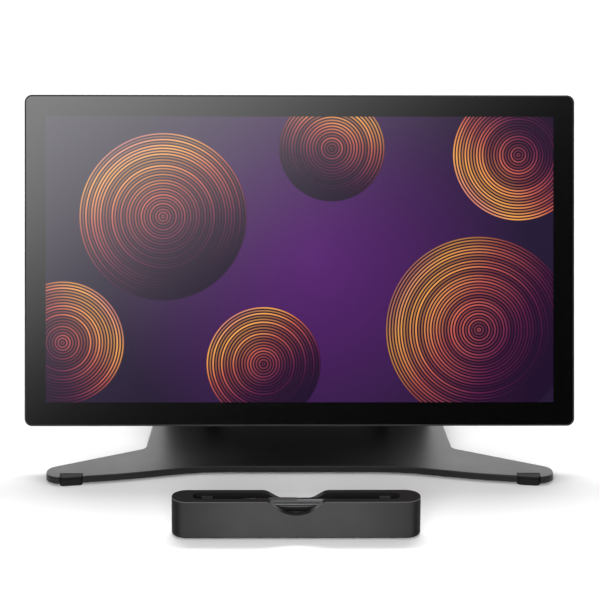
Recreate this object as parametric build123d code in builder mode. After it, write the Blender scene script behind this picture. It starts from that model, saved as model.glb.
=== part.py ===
from build123d import *
from math import cos, radians, sin
import os

os.makedirs("parts", exist_ok=True)

# A pen display on a folding stand, with its pen tray. Millimetres and degrees.
# X to the right, Y away from the user, Z up. The origin is on the desk, in the middle of the set.

# Display as a whole
display_width = 515.0
display_height = 310.0
display_corner = 7.0
display_rise = 45.0
display_lean = 18.0
edge_depth = 16.0
bulge_depth = 34.0
cover_wall = 2.0
rim_width = 1.4
edge_round = 3.0

# Depth of the set on the desk, both measured from the display's lower front edge
tray_reach = 168.5
base_reach = 200.0

# Clearances and the overrun of every cut
gap = 0.3
running_fit = 0.05
overrun = 2.0

# Optical stack, from the glass back
glass_thickness = 1.1
panel_thickness = 1.6
backlight_thickness = 4.0
sensor_thickness = 0.8
shield_thickness = 0.6
panel_side_margin = 15.5
panel_end_margin = 17.0
panel_corner = 3.0
chassis_thickness = 1.5

# Electronics hump of the rear cover
bulge_height = 200.0
bulge_corner = 26.0
bulge_slope = 20.0
bulge_round = 5.0

# Grilles in the hump
grille_share = 0.69
intake_share = 0.47
grille_height = 15.0
grille_corner = 3.0
grille_lip = 1.2
grille_margin = 1.8
grille_offset = 69.0
intake_place_share = 0.22
slat_gap = 2.6
slat_pitch = 6.0
slat_angle = 70.0

# Recess with the sockets, open to the rear and below
port_width = 90.0
port_place_share = 0.29
port_top = 66.0
port_floor = 18.0
port_wall = 2.0
port_board_height = 14.0
port_board_thickness = 1.6
socket_depth = 10.0
socket_shell = 0.5
socket_tongue = 0.8
socket_pitch = 21.0
socket_widths = [9.0, 9.0, 15.0, 9.0]
socket_heights = [3.4, 3.4, 5.4, 3.4]

# Main board, heat spreader and fan
board_share = 0.47
board_height = 80.0
board_thickness = 1.6
board_place_share = 0.235
standoff_height = 3.0
standoff_radius = 3.5
standoff_inset = 6.0
chip_size = 24.0
chip_height = 1.5
spreader_width = 70.0
spreader_height = 46.0
spreader_thickness = 1.5
pipe_width = 8.0
pipe_thickness = 3.0
fan_size = 62.0
fan_corner = 8.0
fan_depth = 12.0
fan_wall = 1.4
fan_place_share = 0.29
fan_rise = 24.0
fan_inlet_radius = 17.0
fan_outlet_width = 44.0
fan_pin_radius = 1.5
rotor_radius = 25.0
rotor_hub_radius = 11.0
rotor_blade_thickness = 1.0
rotor_blade_turn = 35.0
rotor_blade_count = 13
rotor_play = 1.0

# Grips and express keys on the back
grip_width = 52.0
grip_height = 190.0
grip_corner = 22.0
grip_depth = 12.0
grip_round = 6.0
grip_inset = 14.0
grip_clearance = 11.5
key_length = 17.0
key_width = 10.0
key_corner = 3.5
key_pitch = 24.0
key_shift = 4.0
key_proud = 0.8
key_travel = 1.0
key_flange = 1.2
key_flange_thickness = 2.0
key_edge = 0.6
key_count = 4
key_board_thickness = 1.2

# Power button and touch switch on the back, near the upper corner
control_inset_x = 44.0
control_inset_y = 26.0
control_spacing = 26.0
power_radius = 4.0
power_proud = 0.8
control_flange = 1.2
control_flange_thickness = 1.0
switch_length = 5.0
switch_width = 3.4
switch_proud = 1.0
switch_travel = 4.0

# Threaded inserts in the side edges
insert_rise = 43.0
insert_length = 10.0
insert_radius = 4.75
insert_bore = 3.175
insert_boss_radius = 6.2
insert_boss_length = 12.0

# Screws of the rear cover
cover_screw_radius = 1.25
cover_screw_head = 2.6
cover_screw_head_depth = 1.4
cover_screw_length = 9.0
cover_boss_radius = 4.0
cover_screw_inset_x = 20.0
cover_screw_inset_y = 9.0
cover_screw_inner = 190.0

# Tilt head
tilt_height = 150.0
tilt_depth = 56.0
bracket_size = 120.0
bracket_corner = 10.0
bracket_thickness = 4.0
bracket_pattern = 100.0
bracket_screw_radius = 2.0
bracket_head_radius = 3.8
bracket_head_height = 2.4
bracket_screw_length = 12.0
bracket_boss_radius = 5.5
bracket_boss_length = 9.0
bracket_screw_tip = 0.6
ear_width = 14.0
ear_radius = 12.0
ear_window = 16.0
tilt_knuckle_width = 88.0
tilt_washer_thickness = 1.0
tilt_washer_radius = 10.0
tilt_shaft_radius = 5.0

# Arm
arm_length = 155.0
arm_lean = 22.0
arm_width = 262.0
arm_top_width = 150.0
arm_straight = 62.0
arm_core = 12.0
arm_corner = 14.0
arm_wall = 3.0
arm_rib = 3.0
arm_web = 2.5
arm_cover_thickness = 2.5
arm_cover_round = 1.6
arm_cover_inset = 3.0
fold_knuckle_radius = 13.0
fold_bore_radius = 8.0
fold_shaft_radius = 5.0
fold_cap_thickness = 3.0
bush_length = 12.0
cartridge_length = 50.0
arm_screw_radius = 1.5
arm_screw_head = 2.8
arm_screw_head_depth = 1.2
arm_screw_length = 7.0
arm_screw_inset = 22.0

# Release lever on the back of the arm
lever_width = 70.0
lever_length = 24.0
lever_thickness = 3.0
lever_corner = 5.0
lever_drop = 34.0
lever_lift = 7.0
lever_pin_radius = 2.0
lever_eye_radius = 4.0
lever_ear_width = 6.0

# Hinge blocks on the base
block_width = 17.0
block_reach = 30.0
block_radius = 13.0
block_place = 83.0
block_foot = 5.0
block_screw_radius = 2.5
block_screw_head = 4.8
block_screw_head_depth = 2.4
block_screw_length = 12.0
block_screw_pitch = 26.0

# Base plate
base_thickness = 6.0
base_clearance = 2.5
base_edge_round = 1.6
bay_depth = 9.7
bay_half = 93.5
knee_half = 165.0
knee_depth = 29.5
leg_half = 236.5
toe_front = 41.6
toe_back = 13.1
crotch_half = 146.0
crotch_back = 38.3
rear_half = 134.0
bay_round = 190.0
knee_round = 330.0
toe_round = 14.0
crotch_round = 11.0
rear_round = 26.0

# Foot pads
front_pad_inner = 202.0
front_pad_outer = 223.5
front_pad_depth = 14.0
front_pad_length = 8.0
front_pad_proud = 0.8
front_pad_drop = 0.2
pad_round = 1.2
front_pad_corner = 4.0
front_pad_edge = 0.8
rear_pad_length = 46.0
rear_pad_width = 12.0
rear_pad_inset_x = 22.0
rear_pad_inset_y = 52.0
rear_pad_sink = 1.0

# Pen tray
tray_length = 221.6
tray_depth = 30.0
tray_height = 36.0
tray_corner = 13.9
tray_shift = -5.7
tray_wall = 3.0
tray_edge_round = 1.2
tray_rim_round = 1.0
tray_heel_round = 2.0
tray_foot = 1.0
tray_foot_width = 6.0
tray_foot_inset = 18.0
tray_base_thickness = 2.0
slot_length = 184.0
slot_width = 14.4
slot_depth = 15.6
scoop_width = 47.0
scoop_drop = 13.0
scoop_round = 8.0
dip_width = 54.5
dip_flat = 28.5
dip_drop = 7.7
dip_foot_round = 12.0
dip_shoulder_round = 16.0
liner_thickness = 1.2
liner_height = 3.0
rest_length = 6.0
rest_height = 3.0
tab_length = 9.6
tab_inset = 12.7
tab_drop = 3.0

# Pen
pen_play = 13.5
pen_radius = 5.75
pen_tail_radius = 4.4
pen_waist_radius = 5.0
pen_cone_radius = 2.2
pen_grip_length = 42.0
pen_cone_length = 13.0
pen_nib_radius = 0.9
pen_nib_length = 6.0
pen_nib_seat = 4.0
pen_switch_length = 26.0
pen_switch_width = 4.6
pen_switch_height = 2.2
pen_switch_proud = 0.5
pen_switch_place = 54.0
pen_switch_travel = 0.4
pen_dome = 3.0

# Planes and points that the pieces share

foot_y = (tray_reach - base_reach) / 2
up = Vector(0, sin(radians(display_lean)), cos(radians(display_lean)))
out = Vector(0, -cos(radians(display_lean)), sin(radians(display_lean)))
foot = Vector(0, foot_y, display_rise)
screen = Plane(origin=foot + up * (display_height / 2), x_dir=(1, 0, 0), z_dir=out)
screen_axis = Axis(screen.origin, out)

tilt_level = tilt_height - display_height / 2
tilt_centre = foot + up * tilt_height - out * tilt_depth

arm_up = Vector(0, -sin(radians(arm_lean)), cos(radians(arm_lean)))
arm_out = Vector(0, -cos(radians(arm_lean)), -sin(radians(arm_lean)))
fold_centre = tilt_centre - arm_up * arm_length
arm_plane = Plane(origin=fold_centre, x_dir=(1, 0, 0), z_dir=arm_out)
arm_axis = Axis(fold_centre, arm_out)

fold_side = Plane(origin=fold_centre, x_dir=(0, 1, 0), z_dir=(1, 0, 0))
arm_side = Plane(origin=fold_centre, x_dir=arm_up, z_dir=(1, 0, 0))
tilt_side = Plane(origin=tilt_centre, x_dir=up, z_dir=(1, 0, 0))

base_top = base_clearance + base_thickness
base_back = foot_y + base_reach
tray_front = foot_y - tray_reach
tray_centre = (tray_shift, tray_front + tray_depth / 2)

# Depths behind the glass face, measured along the display's normal
stack_back = glass_thickness + panel_thickness + backlight_thickness + sensor_thickness + shield_thickness
chassis_back = stack_back + chassis_thickness
cover_floor = edge_depth - cover_wall
bulge_floor = bulge_depth - cover_wall
board_front = chassis_back + standoff_height
board_back = board_front + board_thickness
chip_back = board_back + chip_height

inner_width = display_width - 2 * cover_wall
inner_height = display_height - 2 * cover_wall
inner_corner = display_corner - cover_wall
boss_height = cover_floor - chassis_back

insert_depth = edge_depth / 2
panel_width = display_width - 2 * panel_side_margin
panel_height = display_height - 2 * panel_end_margin
bulge_width = display_width - 2 * (grip_inset + grip_width + grip_clearance)
bulge_flat = bulge_width - 2 * bulge_slope
grille_width = bulge_flat * grille_share
intake_width = bulge_flat * intake_share
intake_shift = -bulge_flat * intake_place_share
board_width = bulge_flat * board_share
board_shift = -bulge_flat * board_place_share
fan_shift = bulge_flat * fan_place_share
port_shift = bulge_flat * port_place_share
pen_length = slot_length - 2 * pen_play
port_level = tilt_level - port_top
fan_level = tilt_level + fan_rise
power_place = (display_width / 2 - control_inset_x, display_height / 2 - control_inset_y)
switch_place = (power_place[0] - control_spacing, power_place[1])
cover_screw_y = display_height / 2 - cover_screw_inset_y
cover_screw_x = display_width / 2 - cover_screw_inset_x
cover_screw_places = [
    (x, y)
    for x in (-cover_screw_x, -cover_screw_inner / 2, cover_screw_inner / 2, cover_screw_x)
    for y in (-cover_screw_y, cover_screw_y)
]


def side_plane(side):
    """Plane on a side edge of the display, centred on its threaded insert."""
    centre = foot + up * insert_rise - out * insert_depth + Vector(side * display_width / 2, 0, 0)
    return Plane(origin=centre, x_dir=up, z_dir=(side, 0, 0))


# Rear cover: a slim tray with a hump behind its middle

with BuildPart() as bulge_cavity:
    with BuildSketch(screen.offset(-cover_floor)):
        with Locations((0, tilt_level)):
            RectangleRounded(bulge_width - 2 * cover_wall, bulge_height - 2 * cover_wall, bulge_corner)
    with BuildSketch(screen.offset(-bulge_floor)):
        with Locations((0, tilt_level)):
            RectangleRounded(
                bulge_width - 2 * (cover_wall + bulge_slope),
                bulge_height - 2 * (cover_wall + bulge_slope),
                bulge_corner - cover_wall,
            )
    loft()
    with BuildSketch(screen.offset(-port_floor + port_wall)):
        with Locations((port_shift, port_level + port_wall)):
            Rectangle(port_width + 2 * port_wall, bulge_height, align=(Align.CENTER, Align.MAX))
    extrude(amount=-bulge_depth, mode=Mode.SUBTRACT)
    with BuildSketch(screen.offset(-bulge_floor)):
        with Locations((0, tilt_level)):
            with GridLocations(bracket_pattern, bracket_pattern, 2, 2):
                Circle(bracket_boss_radius)
    extrude(amount=bracket_boss_length, mode=Mode.SUBTRACT)

with BuildPart() as rear_cover:
    with BuildSketch(screen.offset(-edge_depth)):
        RectangleRounded(display_width, display_height, display_corner)
    extrude(amount=edge_depth)
    fillet(rear_cover.faces().sort_by(screen_axis)[0].edges(), radius=edge_round)
    with BuildSketch(screen.offset(-edge_depth)):
        with Locations((0, tilt_level)):
            RectangleRounded(bulge_width, bulge_height, bulge_corner)
    with BuildSketch(screen.offset(-bulge_depth)):
        with Locations((0, tilt_level)):
            RectangleRounded(
                bulge_width - 2 * bulge_slope,
                bulge_height - 2 * bulge_slope,
                bulge_corner - cover_wall,
            )
    loft()
    fillet(rear_cover.faces().sort_by(screen_axis)[0].edges(), radius=bulge_round)
    with BuildSketch(screen):
        RectangleRounded(
            display_width - 2 * rim_width,
            display_height - 2 * rim_width,
            display_corner - rim_width,
        )
    extrude(amount=-glass_thickness, mode=Mode.SUBTRACT)
    with BuildSketch(screen):
        RectangleRounded(inner_width, inner_height, inner_corner)
    extrude(amount=-cover_floor, mode=Mode.SUBTRACT)
    add(bulge_cavity.part, mode=Mode.SUBTRACT)
    with BuildSketch(screen.offset(-port_floor)):
        with Locations((port_shift, port_level)):
            Rectangle(port_width, bulge_height, align=(Align.CENTER, Align.MAX))
    extrude(amount=-bulge_depth, mode=Mode.SUBTRACT)
    for width, shift, level in (
        (grille_width, 0, tilt_level + grille_offset),
        (intake_width, intake_shift, tilt_level - grille_offset),
    ):
        with BuildSketch(screen.offset(-bulge_depth - overrun)):
            with Locations((shift, level)):
                RectangleRounded(width - 2 * grille_lip, grille_height - 2 * grille_lip, grille_corner)
        extrude(amount=cover_wall + 2 * overrun, mode=Mode.SUBTRACT)
    with BuildSketch(screen.offset(-cover_floor)):
        with Locations(*cover_screw_places):
            Circle(cover_boss_radius)
    extrude(amount=boss_height)
    for side in (-1, 1):
        with BuildSketch(side_plane(side)):
            Circle(insert_boss_radius)
        extrude(amount=-insert_boss_length)
        with BuildSketch(side_plane(side)):
            Circle(insert_radius)
        extrude(amount=-insert_length, mode=Mode.SUBTRACT)
    with BuildSketch(screen.offset(-edge_depth)):
        with Locations(*cover_screw_places):
            Circle(cover_screw_head)
    extrude(amount=cover_screw_head_depth, mode=Mode.SUBTRACT)
    with BuildSketch(screen.offset(-edge_depth)):
        with Locations(*cover_screw_places):
            Circle(cover_screw_radius)
    extrude(amount=edge_depth - chassis_back, mode=Mode.SUBTRACT)
    with BuildSketch(screen.offset(-bulge_depth)):
        with Locations((0, tilt_level)):
            with GridLocations(bracket_pattern, bracket_pattern, 2, 2):
                Circle(bracket_screw_radius)
    extrude(amount=bracket_screw_length - bracket_thickness, mode=Mode.SUBTRACT)
    with BuildSketch(screen.offset(-edge_depth - overrun)):
        with Locations(power_place):
            Circle(power_radius + gap)
        with Locations(switch_place):
            Rectangle(switch_length + 2 * gap + switch_travel, switch_width + 2 * gap)
    extrude(amount=cover_wall + 2 * overrun, mode=Mode.SUBTRACT)
    for number, (width, height) in enumerate(zip(socket_widths, socket_heights)):
        shift = port_shift + (number - (len(socket_widths) - 1) / 2) * socket_pitch
        with BuildSketch(Plane(origin=screen.from_local_coords((shift, port_level, -port_floor)),
                               x_dir=(1, 0, 0), z_dir=up)):
            with Locations((0, port_board_thickness + height / 2)):
                RectangleRounded(width, height, height / 2 - socket_shell)
        extrude(amount=port_wall, mode=Mode.SUBTRACT)
rear_cover.part.label = "rear_cover"
export_step(rear_cover.part, "parts/rear_cover.step")


# Grilles: a plate with leaning air slots, seated on a lip that steps into the window

def build_grille(width, shift, level):
    """One grille with a row of leaning slots."""
    with BuildPart() as grille:
        with BuildSketch(screen.offset(-bulge_depth)):
            with Locations((shift, level)):
                RectangleRounded(width - 2 * grille_lip, grille_height - 2 * grille_lip, grille_corner)
        extrude(amount=cover_wall)
        with BuildSketch(screen.offset(-bulge_floor)):
            with Locations((shift, level)):
                RectangleRounded(width, grille_height, grille_corner + grille_lip)
        extrude(amount=grille_lip)
        slot_space = grille_height - 2 * (grille_lip + grille_margin)
        count = int((width - 2 * grille_height) / slat_pitch)
        with BuildSketch(screen.offset(-bulge_depth)):
            with Locations((shift, level)):
                with GridLocations(slat_pitch, 0, count, 1):
                    Rectangle(slot_space, slat_gap, rotation=slat_angle)
        extrude(amount=cover_wall + grille_lip, mode=Mode.SUBTRACT)
    return grille.part


exhaust_grille = build_grille(grille_width, 0, tilt_level + grille_offset)
exhaust_grille.label = "exhaust_grille"
export_step(exhaust_grille, "parts/exhaust_grille.step")

intake_grille = build_grille(intake_width, intake_shift, tilt_level - grille_offset)
intake_grille.label = "intake_grille"
export_step(intake_grille, "parts/intake_grille.step")


# Chassis: the metal tray that carries the glass, the panel and the boards

with BuildPart() as chassis:
    with BuildSketch(screen.offset(-chassis_back)):
        RectangleRounded(inner_width, inner_height, inner_corner)
    extrude(amount=chassis_back - glass_thickness)
    with BuildSketch(screen.offset(-stack_back)):
        RectangleRounded(panel_width, panel_height, panel_corner)
    extrude(amount=stack_back, mode=Mode.SUBTRACT)
    with BuildSketch(screen.offset(-board_front)):
        with Locations((board_shift, tilt_level)):
            with GridLocations(board_width - 2 * standoff_inset, board_height - 2 * standoff_inset, 2, 2):
                Circle(standoff_radius)
    extrude(amount=standoff_height)
    with BuildSketch(screen.offset(-chassis_back)):
        with Locations(*cover_screw_places):
            Circle(cover_screw_radius)
    extrude(amount=cover_screw_length, mode=Mode.SUBTRACT)
    for side in (-1, 1):
        with BuildSketch(side_plane(side)):
            Circle(insert_boss_radius)
        extrude(amount=-insert_boss_length, mode=Mode.SUBTRACT)
chassis.part.label = "chassis"
export_step(chassis.part, "parts/chassis.step")


# Optical stack: each sheet lies on the one before it

with BuildPart() as cover_glass:
    with BuildSketch(screen.offset(-glass_thickness)):
        RectangleRounded(
            display_width - 2 * rim_width,
            display_height - 2 * rim_width,
            display_corner - rim_width,
        )
    extrude(amount=glass_thickness)
cover_glass.part.label = "cover_glass"
export_step(cover_glass.part, "parts/cover_glass.step")

sheet_front = glass_thickness
for sheet_name, sheet_thickness in (
    ("lcd_panel", panel_thickness),
    ("backlight", backlight_thickness),
    ("sensor_board", sensor_thickness),
    ("sensor_shield", shield_thickness),
):
    with BuildPart() as sheet:
        with BuildSketch(screen.offset(-sheet_front - sheet_thickness)):
            RectangleRounded(panel_width, panel_height, panel_corner)
        extrude(amount=sheet_thickness)
    sheet.part.label = sheet_name
    export_step(sheet.part, f"parts/{sheet_name}.step")
    sheet_front = sheet_front + sheet_thickness


# Main board on the chassis, with the chips that the heat spreader cools

with BuildPart() as main_board:
    with BuildSketch(screen.offset(-board_back)):
        with Locations((board_shift, tilt_level)):
            Rectangle(board_width, board_height)
    extrude(amount=board_thickness)
    with BuildSketch(screen.offset(-chip_back)):
        with Locations((board_shift, tilt_level)):
            with GridLocations(spreader_width - chip_size, 0, 2, 1):
                Rectangle(chip_size, chip_size)
    extrude(amount=chip_height)
main_board.part.label = "main_board"
export_step(main_board.part, "parts/main_board.step")

with BuildPart() as heat_spreader:
    with BuildSketch(screen.offset(-chip_back - spreader_thickness)):
        with Locations((board_shift, tilt_level)):
            RectangleRounded(spreader_width, spreader_height, panel_corner)
    extrude(amount=spreader_thickness)
    with BuildSketch(screen.offset(-chip_back - spreader_thickness - pipe_thickness)):
        with Locations((board_shift, tilt_level)):
            Rectangle(fan_shift - fan_size / 2 - board_shift, pipe_width, align=(Align.MIN, Align.CENTER))
    extrude(amount=pipe_thickness)
heat_spreader.part.label = "heat_spreader"
export_step(heat_spreader.part, "parts/heat_spreader.step")


# Fan: a flat blower that draws from behind and blows up to the exhaust grille

fan_back = chassis_back + fan_depth
rotor_front = chassis_back + fan_wall + rotor_play
rotor_back = fan_back - fan_wall - rotor_play
with BuildPart() as fan_housing:
    with BuildSketch(screen.offset(-fan_back)):
        with Locations((fan_shift, fan_level)):
            RectangleRounded(fan_size, fan_size, fan_corner)
    extrude(amount=fan_depth)
    with BuildSketch(screen.offset(-fan_back + fan_wall)):
        with Locations((fan_shift, fan_level)):
            Circle(fan_size / 2 - fan_wall)
            Rectangle(fan_outlet_width, fan_size, align=(Align.CENTER, Align.MIN))
    extrude(amount=fan_depth - 2 * fan_wall, mode=Mode.SUBTRACT)
    with BuildSketch(screen.offset(-fan_back)):
        with Locations((fan_shift, fan_level)):
            Circle(fan_inlet_radius)
    extrude(amount=fan_wall, mode=Mode.SUBTRACT)
    with BuildSketch(screen.offset(-rotor_back + rotor_play)):
        with Locations((fan_shift, fan_level)):
            Circle(fan_pin_radius)
    extrude(amount=rotor_back - rotor_front + fan_wall)
fan_housing.part.label = "fan_housing"
export_step(fan_housing.part, "parts/fan_housing.step")

with BuildPart() as fan_rotor:
    with BuildSketch(screen.offset(-rotor_back)):
        with Locations((fan_shift, fan_level)):
            Circle(rotor_hub_radius)
            with PolarLocations(rotor_hub_radius, rotor_blade_count):
                with Locations(Rotation(0, 0, rotor_blade_turn)):
                    Rectangle(
                        rotor_radius - rotor_hub_radius,
                        rotor_blade_thickness,
                        align=(Align.MIN, Align.CENTER),
                    )
    extrude(amount=rotor_back - rotor_front)
    with BuildSketch(screen.offset(-rotor_back + rotor_play)):
        with Locations((fan_shift, fan_level)):
            Circle(fan_pin_radius + running_fit)
    extrude(amount=rotor_back - rotor_front, mode=Mode.SUBTRACT)
fan_rotor.part.label = "fan_rotor"
export_step(fan_rotor.part, "parts/fan_rotor.step")


# Sockets on their small board, seated in the recess wall

with BuildPart() as port_sockets:
    with BuildSketch(screen.offset(-port_floor - port_board_thickness)):
        with Locations((port_shift, port_level + port_wall)):
            Rectangle(port_width, port_board_height, align=(Align.CENTER, Align.MIN))
    extrude(amount=port_board_thickness)
    for number, (width, height) in enumerate(zip(socket_widths, socket_heights)):
        shift = port_shift + (number - (len(socket_widths) - 1) / 2) * socket_pitch
        mouth = Plane(
            origin=screen.from_local_coords((shift, port_level, -port_floor)),
            x_dir=(1, 0, 0),
            z_dir=up,
        )
        middle = port_board_thickness + height / 2
        with BuildSketch(mouth):
            with Locations((0, middle)):
                RectangleRounded(width, height, height / 2 - socket_shell)
        extrude(amount=socket_depth)
        with BuildSketch(mouth):
            with Locations((0, middle)):
                RectangleRounded(
                    width - 2 * socket_shell,
                    height - 2 * socket_shell,
                    height / 2 - 2 * socket_shell,
                )
        extrude(amount=socket_depth - port_wall, mode=Mode.SUBTRACT)
        with BuildSketch(mouth.offset(socket_shell)):
            with Locations((0, middle)):
                Rectangle(width / 2, socket_tongue)
        extrude(amount=socket_depth - port_wall)
port_sockets.part.label = "port_sockets"
export_step(port_sockets.part, "parts/port_sockets.step")


# Grips, key boards and express keys

grip_place = display_width / 2 - grip_inset - grip_width / 2
grip_back = edge_depth + grip_depth
board_face = edge_depth + key_board_thickness
key_front = board_face + key_travel + gap
key_back = grip_back + key_proud
flange_back = key_front + key_flange_thickness
key_levels = [(number - (key_count - 1) / 2) * key_pitch for number in range(key_count)]


def key_places(side):
    """Centres of the keys of one grip."""
    return [(side * (grip_place - key_shift), tilt_level + level) for level in key_levels]


for side, side_name in ((-1, "left"), (1, "right")):
    with BuildPart() as grip:
        with BuildSketch(screen.offset(-grip_back)):
            with Locations((side * grip_place, tilt_level)):
                RectangleRounded(grip_width, grip_height, grip_corner)
        extrude(amount=grip_depth)
        fillet(grip.faces().sort_by(screen_axis)[0].edges(), radius=grip_round)
        with BuildSketch(screen.offset(-grip_back - overrun)):
            with Locations(*key_places(side)):
                RectangleRounded(key_length + 2 * gap, key_width + 2 * gap, key_corner)
        extrude(amount=grip_depth + overrun, mode=Mode.SUBTRACT)
        with BuildSketch(screen.offset(-flange_back - gap)):
            with Locations((side * (grip_place - key_shift), tilt_level)):
                RectangleRounded(
                    key_length + 2 * (key_flange + gap),
                    key_pitch * (key_count - 1) + key_width + 2 * (key_flange + gap),
                    key_corner,
                )
        extrude(amount=flange_back + gap - edge_depth, mode=Mode.SUBTRACT)
    grip.part.label = f"grip_{side_name}"
    export_step(grip.part, f"parts/grip_{side_name}.step")

with BuildPart() as key_boards:
    with BuildSketch(screen.offset(-board_face)):
        for side in (-1, 1):
            with Locations((side * (grip_place - key_shift), tilt_level)):
                RectangleRounded(
                    key_length + 2 * key_flange,
                    key_pitch * (key_count - 1) + key_width + 2 * key_flange,
                    key_corner,
                )
    extrude(amount=key_board_thickness)
key_boards.part.label = "key_boards"
export_step(key_boards.part, "parts/key_boards.step")

key_number = 0
for side in (-1, 1):
    for place in key_places(side):
        key_number = key_number + 1
        with BuildPart() as express_key:
            with BuildSketch(screen.offset(-key_back)):
                with Locations(place):
                    RectangleRounded(key_length, key_width, key_corner)
            extrude(amount=key_back - key_front)
            chamfer(express_key.faces().sort_by(screen_axis)[0].edges(), length=key_edge)
            with BuildSketch(screen.offset(-flange_back)):
                with Locations(place):
                    RectangleRounded(key_length + 2 * key_flange, key_width + 2 * key_flange, key_corner)
            extrude(amount=key_flange_thickness)
        express_key.part.label = f"express_key_{key_number}"
        export_step(express_key.part, f"parts/express_key_{key_number}.step")


# Power button and touch switch, each kept in by a flange inside the cover

flange_front = cover_floor - gap - control_flange_thickness
with BuildPart() as power_button:
    with BuildSketch(screen.offset(-edge_depth - power_proud)):
        with Locations(power_place):
            Circle(power_radius)
    extrude(amount=edge_depth + power_proud - flange_front)
    chamfer(power_button.faces().sort_by(screen_axis)[0].edges(), length=power_proud / 2)
    with BuildSketch(screen.offset(-cover_floor + gap)):
        with Locations(power_place):
            Circle(power_radius + control_flange)
    extrude(amount=control_flange_thickness)
power_button.part.label = "power_button"
export_step(power_button.part, "parts/power_button.step")

with BuildPart() as touch_switch:
    with BuildSketch(screen.offset(-edge_depth - switch_proud)):
        with Locations((switch_place[0] - switch_travel / 2, switch_place[1])):
            Rectangle(switch_length, switch_width)
    extrude(amount=edge_depth + switch_proud - flange_front)
    with BuildSketch(screen.offset(-cover_floor + gap)):
        with Locations((switch_place[0] - switch_travel / 2, switch_place[1])):
            Rectangle(switch_length + 2 * control_flange, switch_width + 2 * (control_flange + gap))
    extrude(amount=control_flange_thickness)
touch_switch.part.label = "touch_switch"
export_step(touch_switch.part, "parts/touch_switch.step")


# Threaded inserts and the screws of the cover

with BuildPart() as thread_inserts:
    for side in (-1, 1):
        with BuildSketch(side_plane(side)):
            Circle(insert_radius)
            Circle(insert_bore, mode=Mode.SUBTRACT)
        extrude(amount=-insert_length)
thread_inserts.part.label = "thread_inserts"
export_step(thread_inserts.part, "parts/thread_inserts.step")

with BuildPart() as cover_screws:
    with BuildSketch(screen.offset(-edge_depth)):
        with Locations(*cover_screw_places):
            Circle(cover_screw_head)
    extrude(amount=cover_screw_head_depth)
    with BuildSketch(screen.offset(-edge_depth)):
        with Locations(*cover_screw_places):
            Circle(cover_screw_radius)
    extrude(amount=cover_screw_length)
cover_screws.part.label = "cover_screws"
export_step(cover_screws.part, "parts/cover_screws.step")


# Tilt head: a plate screwed to the hump, with two ears round the tilt axis

bracket_back = bulge_depth + bracket_thickness
ear_inner = tilt_knuckle_width / 2 + gap + tilt_washer_thickness
ear_outer = ear_inner + ear_width
with BuildPart() as tilt_bracket:
    with BuildSketch(screen.offset(-bracket_back)):
        with Locations((0, tilt_level)):
            RectangleRounded(bracket_size, bracket_size, bracket_corner)
            with Locations((0, ear_window)):
                SlotOverall(ear_inner, ear_window, mode=Mode.SUBTRACT)
    extrude(amount=bracket_thickness)
    for side in (-1, 1):
        ear_start = ear_inner if side > 0 else -ear_outer
        with BuildSketch(tilt_side.offset(ear_start)):
            Circle(ear_radius)
            with Locations((0, (tilt_depth - bracket_back) / 2)):
                Rectangle(2 * ear_radius, tilt_depth - bracket_back)
        extrude(amount=ear_width)
    with BuildSketch(tilt_side.offset(-ear_outer)):
        Circle(tilt_shaft_radius)
    extrude(amount=2 * ear_outer, mode=Mode.SUBTRACT)
    with BuildSketch(screen.offset(-bracket_back)):
        with Locations((0, tilt_level)):
            with GridLocations(bracket_pattern, bracket_pattern, 2, 2):
                Circle(bracket_screw_radius)
    extrude(amount=bracket_thickness, mode=Mode.SUBTRACT)
tilt_bracket.part.label = "tilt_bracket"
export_step(tilt_bracket.part, "parts/tilt_bracket.step")

with BuildPart() as tilt_shaft:
    with BuildSketch(tilt_side.offset(-ear_outer)):
        Circle(tilt_shaft_radius)
    extrude(amount=2 * ear_outer)
tilt_shaft.part.label = "tilt_shaft"
export_step(tilt_shaft.part, "parts/tilt_shaft.step")

with BuildPart() as tilt_washers:
    for side in (-1, 1):
        washer_start = ear_inner - tilt_washer_thickness if side > 0 else -ear_inner
        with BuildSketch(tilt_side.offset(washer_start)):
            Circle(tilt_washer_radius)
            Circle(tilt_shaft_radius, mode=Mode.SUBTRACT)
        extrude(amount=tilt_washer_thickness)
tilt_washers.part.label = "tilt_washers"
export_step(tilt_washers.part, "parts/tilt_washers.step")

with BuildPart() as bracket_screws:
    with BuildSketch(screen.offset(-bracket_back - bracket_head_height)):
        with Locations((0, tilt_level)):
            with GridLocations(bracket_pattern, bracket_pattern, 2, 2):
                Circle(bracket_head_radius)
    extrude(amount=bracket_head_height)
    chamfer(bracket_screws.faces().group_by(screen_axis)[0].edges(), length=bracket_screw_tip)
    with BuildSketch(screen.offset(-bracket_back)):
        with Locations((0, tilt_level)):
            with GridLocations(bracket_pattern, bracket_pattern, 2, 2):
                Circle(bracket_screw_radius)
    extrude(amount=bracket_screw_length)
bracket_screws.part.label = "bracket_screws"
export_step(bracket_screws.part, "parts/bracket_screws.step")


# Arm: a ribbed casting between the fold axis and the tilt axis, with a cover on each side

arm_half = arm_core / 2
block_start = block_place - block_width / 2 - gap
block_slot = block_width + 2 * gap
knuckle_half = tilt_knuckle_width / 2


def arm_points(inset):
    """Corners of the arm's flat body, drawn in from its edge by an inset."""
    foot_half = arm_width / 2 - inset
    top_half = arm_top_width / 2 - inset
    bottom = fold_knuckle_radius + inset
    top = arm_length - ear_radius - inset
    return [
        (-foot_half, bottom),
        (foot_half, bottom),
        (foot_half, arm_straight),
        (top_half, top),
        (-top_half, top),
        (-foot_half, arm_straight),
    ]


arm_screw_places = [
    (side * (half - arm_screw_inset), level)
    for side in (-1, 1)
    for half, level in (
        (arm_width / 2, fold_knuckle_radius + arm_screw_inset),
        (arm_top_width / 2, arm_length - ear_radius - arm_screw_inset),
    )
]

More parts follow.
